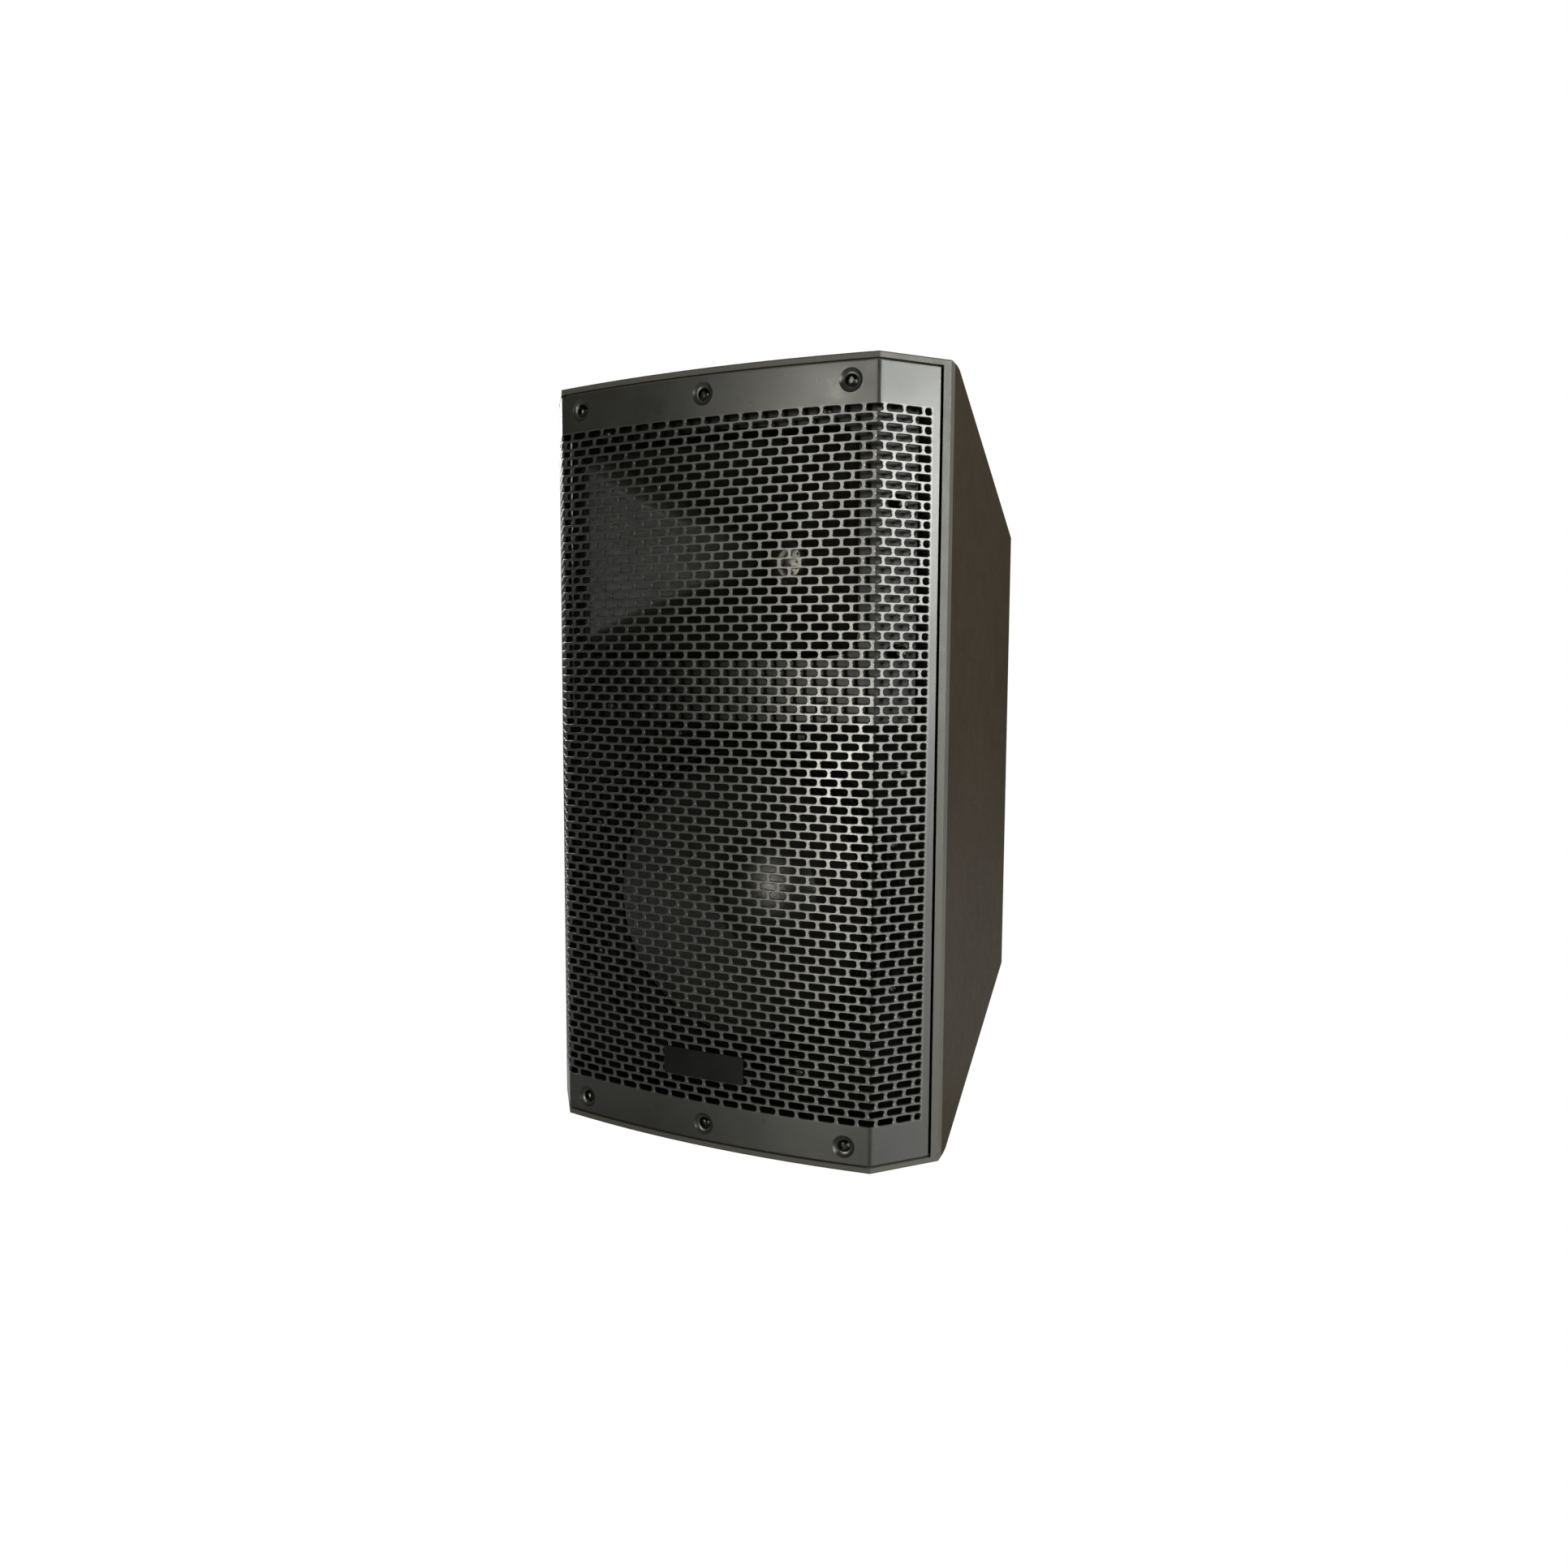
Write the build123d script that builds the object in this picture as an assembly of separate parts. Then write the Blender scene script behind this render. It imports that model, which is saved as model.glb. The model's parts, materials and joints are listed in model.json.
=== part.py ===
from build123d import *
import math
import os

# A powered two-way loudspeaker cabinet. Millimetres.
# While a piece is being shaped, x is to the right seen from the front, y is the depth behind the
# foremost point of the bowed grille, and z is the height from the middle of the cabinet.
# save() moves each piece to the row frame: the origin is on the floor, under the middle of the box.

# ---------------------------------------------------------------- cabinet
cab_width = 350.0  # across the rim
cab_height = 600.0
cab_depth = 345.0
wall = 4.5
edge_round = 4.0
rim_round = 1.2
bow_radius = 860.0  # of the front, seen from above
wing_reach = 37.3  # sideways, from the bend to the rim's corner
wing_angle = 51.0  # of the wings, from the straight front
side_taper = 5.0  # of each side wall, towards the rear
rear_bevel = 48.0  # of the two upright rear edges
facet_start = 80.0  # depth where the corner facets begin
facet_drop = 102.0  # how far they come down at the end of the side wall
facet_inset = 12.0  # how far they cut into the rear face
part_line = 68.0  # depth where the front moulding meets the rear shell

# ---------------------------------------------------------------- front moulding and grille
grille_thick = 1.5
grille_gap = 2.0  # between the grille and the rim, above and below
grille_side_gap = 2.7  # between the grille and the rim, along the wing
dish_depth = 2.5  # of the dished seats
dish_radius = 8.7
ledge_width = 23.5
ledge_thick = 4.0
board_depth = 52.0  # of the board's front face
board_thick = 14.0
grille_row_pitch = 13.36
grille_slot_height = 8.6
grille_web = 5.0
grille_front_slots = 9
grille_wing_slots = 1
grille_margin = 29.4  # plain strip above the first row
grille_side_margin = 4.0  # plain strip beside the bend and at the wing's edge
grille_screw_spread = 117.0
grille_screw_inset = 12.4  # from the grille's upper and lower edges
badge_width = 71.6
badge_height = 22.0
badge_thick = 1.2
badge_rise = 60.0  # centre, above the grille's lower edge

# ---------------------------------------------------------------- fits and fasteners
fit_gap = 0.1  # round a screw in its hole
play = 0.3  # between a moving piece and what it moves in
running = 0.05  # round a shaft in its bearing
gasket_thick = 1.5

# ---------------------------------------------------------------- woofer
woofer_rise = 188.0  # axis, above the cabinet's underside
woofer_radius = 154.0
woofer_bolt_radius = 147.0
woofer_screws_count = 8
woofer_mouth_radius = 137.0
woofer_flange = 4.0
woofer_sink = 9.0  # depth of the rebate that the flange lies in
cone_radius = 113.0
cone_thick = 1.2
cone_depth = 51.0
coil_radius = 38.1
coil_gap = 0.8
former_thick = 0.4
winding_thick = 0.9
winding_length = 14.0
cap_radius = 50.0
cap_height = 16.0
cone_travel = 5.0
basket_depth = 72.5
basket_foot_radius = 88.0
spider_radius = 84.0
woofer_magnet_radius = 80.0
woofer_magnet_thick = 20.0
woofer_plate_thick = 10.0

# ---------------------------------------------------------------- horn and compression driver
horn_inset = 8.0  # panel, behind the grille's outer face
horn_panel_thick = 4.0
horn_panel_width = 310.0
horn_panel_height = 234.0
horn_panel_gap = 2.0  # under the ledge
horn_axis_drop = 101.0  # from the panel's upper edge
horn_skirt = 3.0
horn_wall = 3.0
horn_boss_radius = 7.4
throat_radius = 12.7
throat_depth = 150.0
throat_flange_radius = 47.0
throat_flange_thick = 6.0
hf_radius = 47.0
hf_plate_thick = 8.0
hf_magnet_thick = 14.0
hf_top_thick = 6.0
hf_coil_radius = 22.5
hf_dome_height = 7.0
hf_cap_depth = 24.0
hf_bolt_radius = 38.1

# ---------------------------------------------------------------- handle, socket, inserts, feet, ports
handle_depth_place = 165.0
handle_pocket_width = 124.0
handle_pocket_length = 70.0
handle_pocket_depth = 38.0
handle_cup_wall = 2.5
handle_flange = 11.0
handle_flange_thick = 2.5
grip_thick = 14.0
grip_breadth = 22.0
socket_place = 195.0
socket_bore_radius = 18.0
socket_wall = 3.0
socket_length = 78.0
socket_flange_radius = 40.0
socket_flange_thick = 3.0
insert_bore_radius = 4.25  # tapping size for M10
insert_radius = 8.0
insert_length = 20.0
insert_spread = 88.0
insert_place = 245.0
foot_height = 4.0
foot_radius = 11.0
port_radius = 28.0
port_wall = 2.5
port_length = 95.0
port_spread = 48.0
port_rise = 215.0
port_flange_radius = 37.0
port_flange_thick = 2.5

# ---------------------------------------------------------------- amplifier module
amp_rise = -60.0  # middle of the panel
amp_width = 184.0
amp_height = 324.0
amp_panel_thick = 3.0
amp_sink = 15.0  # panel's inner face, in from the rear
amp_lip = 9.0
amp_lip_thick = 4.0
amp_gap = 0.5
amp_cover_depth = 66.0
amp_cover_wall = 1.5
board_stand = 28.0
circuit_thick = 1.6
fin_count = 19
fin_height = 8.5
sink_base = 3.0
sink_width = 156.0
sink_height = 112.0

knob_radius = 8.5
knob_length = 10.5
shaft_radius = 3.0
jack_radius = 11.0
jack_length = 24.0
jack_travel = 1.6
button_radius = 2.8
button_travel = 2.0
rocker_tilt = 8.0
rocker_width = 12.0
rocker_length = 17.0
fuse_travel = 16.0

pad_front = 118.0  # damping pads
pad_length = 150.0
pad_height = 210.0
pad_thick = 12.0  # with the wall's own inset

# ---------------------------------------------------------------- worked out from the above
half_width = cab_width / 2
half_height = cab_height / 2
wing_sin = math.sin(math.radians(wing_angle))
wing_cos = math.cos(math.radians(wing_angle))
taper = math.radians(side_taper)
bow_half = half_width - wing_reach
bow_sag = bow_radius - math.sqrt(bow_radius**2 - bow_half**2)
rim_corner = bow_sag + wing_reach * wing_sin / wing_cos
side_end = cab_depth - rear_bevel
rim_inside = half_height - wall
grille_half = rim_inside - grille_gap
recess = grille_thick + dish_depth
ledge_edge = rim_inside - ledge_width
woofer_z = woofer_rise - half_height
woofer_seat = board_depth + woofer_sink
flange_back = woofer_seat - gasket_thick
flange_front = flange_back - woofer_flange
surround_land = 0.8
roll_height = 2.9
basket_back = flange_front + basket_depth
gap_radius = coil_radius + former_thick + winding_thick + coil_gap  # hole in the woofer's top plate
basket_hole = gap_radius + 10
cone_front = flange_front + 1.5
horn_top = ledge_edge - horn_panel_gap
horn_bottom = horn_top - horn_panel_height
horn_z = horn_top - horn_axis_drop
skirt_back = board_depth - gasket_thick
panel_in = cab_depth - amp_sink  # inner face of the amplifier's panel
panel_out = panel_in + amp_panel_thick
grille_screw_z = grille_half - grille_screw_inset

to_frame = Location((0, -(cab_depth - badge_thick) / 2, half_height + foot_height))
written = []


# ---------------------------------------------------------------- helpers
def save(name, *pieces):
    """Write one node, made of one or more separate solids, in the row frame."""
    solids = [solid for piece in pieces for solid in piece.solids()]
    node = solids[0] if len(solids) == 1 else Compound(children=solids)
    node = node.moved(to_frame)
    node.label = name
    export_step(node, f"parts/{name}.step")
    written.append(name)


def block(x0, x1, y0, y1, z0, z1):
    """A box between two corners."""
    centre = ((x0 + x1) / 2, (y0 + y1) / 2, (z0 + z1) / 2)
    return Pos(*centre) * Box(x1 - x0, y1 - y0, z1 - z0)


def rod(radius, y0, y1, x=0.0, z=0.0):
    """A cylinder along the depth."""
    return Pos(x, (y0 + y1) / 2, z) * Rot(90, 0, 0) * Cylinder(radius, y1 - y0)


def post(radius, z0, z1, x=0.0, y=0.0):
    """An upright cylinder."""
    return Pos(x, y, (z0 + z1) / 2) * Cylinder(radius, z1 - z0)


def tube(outer, inner, y0, y1, x=0.0, z=0.0):
    """A ring along the depth."""
    return rod(outer, y0, y1, x, z) - rod(inner, y0 - 1, y1 + 1, x, z)


def turned(points, z=0.0, x=0.0):
    """A solid of revolution about a line along the depth; points are (radius, depth)."""
    return Pos(x, 0, z) * revolve(make_face(Polyline(*points, close=True)), Axis.Y, 360)


def dome(radius, height, thick, y, toward, z):
    """A spherical shell on a circle at depth y; toward is -1 for a crown to the front, 1 for the rear."""
    ball = (radius**2 + height**2) / (2 * height)
    centre = y - toward * (ball - height)
    inner = ball - thick
    rim = math.sqrt(inner**2 - (ball - height) ** 2)
    half = math.asin(radius / ball) / 2
    half_in = math.asin(rim / inner) / 2
    outline = [
        ThreePointArc(
            (radius, y),
            (ball * math.sin(half), centre + toward * ball * math.cos(half)),
            (0, centre + toward * ball),
        ),
        Line((0, centre + toward * ball), (0, centre + toward * inner)),
        ThreePointArc(
            (0, centre + toward * inner),
            (inner * math.sin(half_in), centre + toward * inner * math.cos(half_in)),
            (rim, y),
        ),
        Line((rim, y), (radius, y)),
    ]
    return Pos(0, 0, z) * revolve(make_face(outline), Axis.Y, 360)


def prism(face, z0, z1):
    """A plan face raised from z0 to z1."""
    return Pos(0, 0, z0) * extrude(face, z1 - z0, dir=(0, 0, 1))


def front_at(x, y, z):
    """A place for a screw whose head looks to the front."""
    return Pos(x, y, z) * Rot(90, 0, 0)


def rear_at(x, y, z):
    """A place for a screw whose head looks to the rear."""
    return Pos(x, y, z) * Rot(-90, 0, 0)


def screw(head_radius, head_height, shank_radius, length):
    """A button-head socket screw: the seat at the origin, the head up, the shank down."""
    rim = 0.3 * head_height
    outline = [
        Line((0, 0), (head_radius, 0)),
        Line((head_radius, 0), (head_radius, rim)),
        ThreePointArc((head_radius, rim), (0.7 * head_radius, 0.78 * head_height), (0, head_height)),
        Line((0, head_height), (0, 0)),
    ]
    head = revolve(Plane.XZ * make_face(outline), Axis.Z, 360)
    socket = extrude(RegularPolygon(0.5 * head_radius, 6), head_height)
    head -= Pos(0, 0, 0.4 * head_height) * socket
    return head + Pos(0, 0, -length / 2) * Cylinder(shank_radius, length)


# ---------------------------------------------------------------- cabinet outline
def side_x(y, inset=0.0):
    """Half-width of the cabinet at a depth, moved in by inset."""
    return half_width - (y - rim_corner) * math.tan(taper) - inset / math.cos(taper)


rear_half = side_x(side_end) - rear_bevel


def bend_point(inset):
    """Where the bow meets the right wing, for a front moved back by inset."""
    start_x = bow_half - inset * wing_sin
    start_y = bow_sag + inset * wing_cos - bow_radius
    along = start_x * wing_cos + start_y * wing_sin
    excess = start_x**2 + start_y**2 - (bow_radius - inset) ** 2
    run = -along - math.sqrt(along**2 - excess)
    return start_x + run * wing_cos, start_y + bow_radius + run * wing_sin


def front_y(x, inset=0.0):
    """Depth of the front curve, moved back by inset, at a place across."""
    bend_x, bend_y = bend_point(inset)
    if abs(x) <= bend_x:
        return bow_radius - math.sqrt((bow_radius - inset) ** 2 - x**2)
    return bend_y + (abs(x) - bend_x) * wing_sin / wing_cos


def bow_arc(inset):
    bend_x, bend_y = bend_point(inset)
    return ThreePointArc((-bend_x, bend_y), (0, inset), (bend_x, bend_y))


def front_zone(inset, back):
    """Plan face from the front curve, moved back by inset, to a straight line at depth back."""
    bend_x, bend_y = bend_point(inset)
    end_x = bend_x + (back - bend_y) * wing_cos / wing_sin
    rest = Polyline((bend_x, bend_y), (end_x, back), (-end_x, back), (-bend_x, bend_y))
    return make_face([bow_arc(inset), rest])


def side_zone(inset, y0, y1):
    """Plan face between the two side walls, moved in by inset."""
    near, far = side_x(y0, inset), side_x(y1, inset)
    return make_face(Polyline((-near, y0), (near, y0), (far, y1), (-far, y1), close=True))


def plan():
    """The cabinet seen from above."""
    rest = Polyline(
        bend_point(0),
        (half_width, rim_corner),
        (side_x(side_end), side_end),
        (rear_half, cab_depth),
        (-rear_half, cab_depth),
        (-side_x(side_end), side_end),
        (-half_width, rim_corner),
        (-bow_half, bow_sag),
    )
    return make_face([bow_arc(0), rest])


def facet_planes(inset):
    """The four planes that slice the long corners away, moved in by inset."""
    first = Vector(side_x(facet_start), facet_start, half_height)
    second = Vector(side_x(side_end), side_end, half_height - facet_drop)
    third = Vector(rear_half - facet_inset, cab_depth, half_height)
    normal = (second - first).cross(third - first).normalized()
    if normal.Z < 0:
        normal = -normal
    for side in (1, -1):
        for up in (1, -1):
            origin = first - normal * inset
            yield Plane(
                origin=(side * origin.X, origin.Y, up * origin.Z),
                z_dir=(side * normal.X, normal.Y, up * normal.Z),
            )


def cabinet_body(inset):
    """The cabinet's outer form, or its hollow when moved in by a wall."""
    face = plan() if inset == 0 else offset(plan(), -inset, kind=Kind.INTERSECTION)
    body = prism(face, inset - half_height, half_height - inset)
    for plane in facet_planes(inset):
        body = split(body, bisect_by=plane, keep=Keep.BOTTOM)
    return body


def rounded_body():
    """The outer form with its edges broken: small ones round the front, larger ones behind."""
    body = cabinet_body(0)
    front = [e for e in body.edges() if e.center().Y <= rim_corner + 1]
    body = fillet(front, rim_round)
    behind = [e for e in body.edges() if e.length > 3 * edge_round and e.center().Y > rim_corner + 20]
    sharp = [e for e in behind if e.geom_type == GeomType.LINE]
    return fillet(sharp, edge_round)


outer_body = rounded_body()
inner_body = cabinet_body(wall)
front_half = block(-400, 400, -50, part_line, -400, 400)
rear_half_space = block(-400, 400, part_line, 500, -400, 400)

# Screws that hold the front moulding on the rear shell, (x, z)
baffle_screw_x = 144.0
baffle_screw_places = [
    (side * baffle_screw_x, z)
    for side in (1, -1)
    for z in (woofer_z + 112.0, woofer_z - 79.0, horn_z + 117.0, woofer_z - 169.0)
]
horn_screw_places = [
    (side * x, horn_top - drop) for side in (1, -1) for x, drop in ((95, 8), (145, 73), (145, 181), (95, 223))
]
woofer_screw_places = [
    (
        woofer_bolt_radius * math.cos(math.radians(22.5 + 360 / woofer_screws_count * k)),
        woofer_z + woofer_bolt_radius * math.sin(math.radians(22.5 + 360 / woofer_screws_count * k)),
    )
    for k in range(woofer_screws_count)
]
grille_screw_places = [
    (x, up * grille_screw_z) for up in (1, -1) for x in (-grille_screw_spread, 0, grille_screw_spread)
]

small_screw = dict(head_radius=4.6, head_height=2.8, shank_radius=2.2)


# ---------------------------------------------------------------- front moulding
def front_baffle():
    """Rim, ledges, board and bosses: one moulding, cut from the cabinet's outer form."""
    part = outer_body & front_half
    hollow = side_zone(wall, -60, board_depth)
    part -= prism(hollow, -ledge_edge, ledge_edge)
    open_front = prism(side_zone(wall, -60, part_line), -rim_inside, rim_inside)
    part -= open_front - prism(front_zone(recess, 300), -half_height, half_height)
    behind = prism(side_zone(wall, board_depth + board_thick, part_line + 1), -rim_inside, rim_inside)
    part -= behind
    under = prism(side_zone(wall, -60, part_line + 1), ledge_edge + ledge_thick, rim_inside)
    under &= prism(front_zone(recess + ledge_thick, 300), 0, half_height)
    part -= under
    part -= mirror(under, about=Plane.XY)

    part -= rod(woofer_radius + 1, 0, woofer_seat, 0, woofer_z)
    part -= rod(woofer_mouth_radius + 4, 0, part_line, 0, woofer_z)
    part -= block(-97, 97, 0, part_line, horn_z - 70, horn_z + 70)
    for x, z in woofer_screw_places:
        part -= rod(2.4 + fit_gap, 0, part_line, x, z)
    for x, z in horn_screw_places:
        part -= rod(small_screw["shank_radius"] + fit_gap, 0, part_line, x, z)
    for x, z in baffle_screw_places:
        part -= rod(small_screw["shank_radius"] + fit_gap, 0, part_line + 1, x, z)
    for x, z in grille_screw_places:
        boss = rod(5.5, front_y(x, recess) + 1, part_line - 8, x, z)
        boss &= prism(front_zone(recess + 0.5, 300), -rim_inside - 1, rim_inside + 1)
        part += boss
        part -= grille_normal(x, z) * Pos(0, 0, -12) * Cylinder(2.5 + fit_gap, 40)
    return part


def grille_normal(x, z):
    """A place on the grille's outer face with its z axis along the outward normal."""
    angle = math.degrees(math.asin(x / bow_radius))
    return Pos(x, front_y(x), z) * Rot(0, 0, angle) * Rot(90, 0, 0)


# ---------------------------------------------------------------- grille
def row_spans(width, count, staggered):
    """The slots of one row: count equal ones, or a half slot at each end when staggered."""
    pitch = (width + grille_web) / count
    slot = pitch - grille_web
    if not staggered:
        return [(k * pitch, k * pitch + slot) for k in range(count)]
    half = (slot - grille_web) / 2
    first = half + grille_web
    middle = [(first + k * pitch, first + k * pitch + slot) for k in range(count - 1)]
    return [(0, half)] + middle + [(width - half, width)]


def slotted_slab(left, right, count):
    """A flat face, from left to right in x and the grille's height in z, with rows of slots."""
    rows = int((2 * (grille_half - grille_margin) + grille_row_pitch) // grille_row_pitch)
    start, width = left + grille_side_margin, right - left - 2 * grille_side_margin
    holes = []
    for row in range(rows):
        z = (row - (rows - 1) / 2) * grille_row_pitch
        low, high = z - grille_slot_height / 2, z + grille_slot_height / 2
        for near, far in row_spans(width, count, row % 2 == 1):
            x0, x1 = start + near, start + far
            corners = [(x0, 0, low), (x1, 0, low), (x1, 0, high), (x0, 0, high)]
            holes.append(Wire.make_polygon(corners, close=True))
    tall = grille_half
    edge = [(left, 0, -tall), (right, 0, -tall), (right, 0, tall), (left, 0, tall)]
    return Face(Wire.make_polygon(edge, close=True), holes)


def grille():
    """One perforated sheet: a bowed front and two flat wings, with six dished seats."""
    inner_x, inner_y = bend_point(grille_thick)
    outline = [
        bow_arc(0),
        Line(bend_point(0), (inner_x, inner_y)),
        bow_arc(grille_thick),
        Line((-inner_x, inner_y), (-bow_half, bow_sag)),
    ]
    front = prism(make_face(outline), -grille_half, grille_half)
    for x, z in grille_screw_places:
        front -= grille_normal(x, z) * Cylinder(dish_radius, 4 * grille_thick)
    flat = (grille_thick, dish_depth + grille_thick)
    dish = revolve(
        Plane.XZ
        * make_face(
            Polyline(
                (2.5 + fit_gap, -dish_depth),
                (6.2, -dish_depth),
                (dish_radius, 0),
                (dish_radius + 0.6, 0),
                (dish_radius + 0.6, -flat[0]),
                (dish_radius, -flat[0]),
                (6.2, -flat[1]),
                (2.5 + fit_gap, -flat[1]),
                close=True,
            )
        ),
        Axis.Z,
        360,
    )
    for x, z in grille_screw_places:
        front += grille_normal(x, z) * dish
    face = slotted_slab(-bow_half, bow_half, grille_front_slots)
    front = front & (Pos(0, -20, 0) * Solid.extrude(face, Vector(0, 80, 0)))

    rim = wall / math.sin(math.radians(90 - wing_angle + side_taper))
    length = wing_reach / wing_cos - rim - grille_side_gap
    wing_face = slotted_slab(0, length, grille_wing_slots)
    wing = Solid.extrude(wing_face, Vector(0, grille_thick, 0))
    wing = Pos(bow_half, bow_sag, 0) * Rot(0, 0, wing_angle) * wing
    return front.fuse(wing, mirror(wing, about=Plane.YZ))


def badge_plate():
    """A small plate that follows the bow; it carries nothing."""
    z = badge_rise - grille_half
    layer = front_zone(-badge_thick, 100) - front_zone(0, 200)
    ring = prism(layer, z - badge_height / 2, z + badge_height / 2)
    plate = ring & block(-badge_width / 2, badge_width / 2, -20, 20, -half_height, half_height)
    upright = plate.edges().filter_by(Axis.Y, tolerance=6).group_by(Axis.X)
    return fillet(upright[0] + upright[-1], 1.5)


def grille_screws():
    one = screw(4.9, 2.9, 2.5, 14)
    return [grille_normal(x, z) * Pos(0, 0, -dish_depth) * one for x, z in grille_screw_places]


def baffle_screws():
    one = screw(**small_screw, length=board_thick + 12)
    return [front_at(x, board_depth, z) * one for x, z in baffle_screw_places]


# ---------------------------------------------------------------- rear shell
def rear_shell():
    """The tapered body behind the front moulding, with its tub, bosses and holes."""
    part = (outer_body & rear_half_space) - inner_body
    keep = outer_body & rear_half_space

    # Pad under the handle's flange and pad under the pole socket
    pocket_x = handle_pocket_width / 2 + handle_flange
    pocket_y = handle_pocket_length / 2 + handle_flange
    top = half_height - wall
    part += block(
        -pocket_x - 4,
        pocket_x + 4,
        handle_depth_place - pocket_y - 4,
        handle_depth_place + pocket_y + 4,
        top - handle_flange_thick - 1,
        top + 1,
    )

    # Tub that holds the amplifier's panel below the rear face
    out_x, out_z = amp_width / 2 + amp_gap + wall, amp_height / 2 + amp_gap + wall
    tub = block(-out_x, out_x, panel_in - amp_lip_thick, cab_depth - 1, amp_rise - out_z, amp_rise + out_z)
    part += tub & keep
    in_x, in_z = out_x - wall, out_z - wall
    part -= block(-in_x, in_x, panel_in, cab_depth + 1, amp_rise - in_z, amp_rise + in_z)
    lip_x, lip_z = in_x - amp_lip, in_z - amp_lip
    lip_y = panel_in - amp_lip_thick
    part -= block(-lip_x, lip_x, lip_y - 1, panel_in + 1, amp_rise - lip_z, amp_rise + lip_z)

    for x, z in panel_screw_places:
        part -= rod(2.0 + fit_gap, panel_in - 10, panel_in + 1, x, z)

    # Bosses for the screws of the front moulding, tied to the side walls
    for x, z in baffle_screw_places:
        side = math.copysign(1, x)
        near, far = sorted((side * (abs(x) - 7), side * (half_width - 1)))
        part += block(near, far, part_line, part_line + 18, z - 7, z + 7) & keep
        part -= rod(small_screw["shank_radius"] + fit_gap, 0, part_line + 14, x, z)

    # Threaded inserts: two in the top, one low in the rear
    for side in (1, -1):
        x = side * insert_spread
        part += post(insert_radius + 4, half_height - insert_length - 3, half_height - 1, x, insert_place)
        part -= post(insert_radius + fit_gap, half_height - insert_length, half_height + 1, x, insert_place)
    low = insert_low_z()
    part += rod(insert_radius + 4, cab_depth - insert_length - 3, cab_depth - 1, 0, low)
    part -= rod(insert_radius + fit_gap, cab_depth - insert_length, cab_depth + 1, 0, low)

    # Handle pocket, with a rebate for the flange
    cup_x, cup_y = handle_pocket_width / 2 + handle_cup_wall, handle_pocket_length / 2 + handle_cup_wall
    y0, y1 = handle_depth_place - cup_y - fit_gap, handle_depth_place + cup_y + fit_gap
    part -= block(-cup_x - fit_gap, cup_x + fit_gap, y0, y1, top - 20, half_height + 1)
    y0, y1 = handle_depth_place - pocket_y - play, handle_depth_place + pocket_y + play
    flange_low = half_height - handle_flange_thick
    part -= block(-pocket_x - play, pocket_x + play, y0, y1, flange_low, half_height + 1)
    for x, y in handle_screw_places():
        part -= post(1.8 + fit_gap, half_height - 20, half_height, x, y)

    # Pole socket and feet
    low = -half_height
    part -= post(socket_bore_radius + socket_wall + fit_gap, low - 1, low + 20, 0, socket_place)
    for x, y in socket_screw_places():
        part -= post(1.8 + fit_gap, -half_height - 1, -half_height + 20, x, y)
    for x, y in foot_places():
        part -= post(1.8 + fit_gap, -half_height - 1, -half_height + 20, x, y)

    # Ports
    rear = cab_depth
    for side in (1, -1):
        x = side * port_spread
        part -= rod(port_radius + port_wall + fit_gap, rear - 20, rear + 1, x, port_rise)
        part -= rod(port_flange_radius + fit_gap, rear - port_flange_thick, rear + 1, x, port_rise)
    return part


def insert_low_z():
    """Height of the insert in the rear, under the amplifier."""
    return (amp_rise - amp_height / 2 - half_height) / 2 - 4


def handle_screw_places():
    x = handle_pocket_width / 2 + handle_flange / 2 + 1
    y = handle_pocket_length / 2 + handle_flange / 2 + 1
    return [(sx * x, handle_depth_place + sy * y) for sx in (1, -1) for sy in (1, -1)]


def socket_screw_places():
    radius = (socket_bore_radius + socket_wall + socket_flange_radius) / 2
    angles = [math.radians(45 + 90 * k) for k in range(4)]
    return [(radius * math.cos(a), socket_place + radius * math.sin(a)) for a in angles]


def foot_places():
    front, rear = 98.0, side_end
    return [
        (side * (half_width - inset), y) for side in (1, -1) for y, inset in ((front, 42.0), (rear, 93.0))
    ]


def handle_cup():
    """The pocket let into the top, with its flange."""
    x, y = handle_pocket_width / 2, handle_pocket_length / 2
    w = handle_cup_wall
    top = half_height
    cx, cy = handle_depth_place - y, handle_depth_place + y
    cup = block(-x - w, x + w, cx - w, cy + w, top - handle_pocket_depth - w, top)
    fl = handle_flange
    cup += block(-x - fl, x + fl, cx - fl, cy + fl, top - handle_flange_thick, top)
    cup -= block(-x, x, cx, cy, top - handle_pocket_depth, top + 1)
    for px, py in handle_screw_places():
        cup -= post(1.8 + fit_gap, top - 10, top + 1, px, py)
        cup -= post(3.6, top - 1.2, top + 1, px, py)
    return cup


def handle_grip():
    """The bar across the pocket, from one end wall to the other."""
    bar = Pos(0, handle_depth_place, half_height - 2 - grip_thick / 2) * Box(
        handle_pocket_width, grip_breadth, grip_thick
    )
    return fillet(bar.edges().filter_by(Axis.X), 5.5)


def handle_screws():
    one = screw(3.2, 1.1, 1.8, 5)
    return [Pos(x, y, half_height - 1.2) * one for x, y in handle_screw_places()]


def pole_socket():
    """A blind cup for a stand's pole, its mouth on the underside."""
    low = -half_height
    outer = socket_bore_radius + socket_wall
    cup = post(outer, low - 0.5, low + socket_length + socket_wall, 0, socket_place)
    cup += post(socket_flange_radius, low - socket_flange_thick, low, 0, socket_place)
    cup -= post(socket_bore_radius, low - socket_flange_thick - 1, low + socket_length, 0, socket_place)
    mouth = cup.edges().filter_by(GeomType.CIRCLE).group_by(Axis.Z)[0]
    cup = chamfer(mouth, 0.8)
    for x, y in socket_screw_places():
        cup -= post(1.8 + fit_gap, low - 10, low + 1, x, y)
    return cup


def socket_screws():
    one = screw(3.4, 0.9, 1.8, 12)
    low = -half_height - socket_flange_thick
    return [Pos(x, y, low) * Rot(180, 0, 0) * one for x, y in socket_screw_places()]


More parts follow.
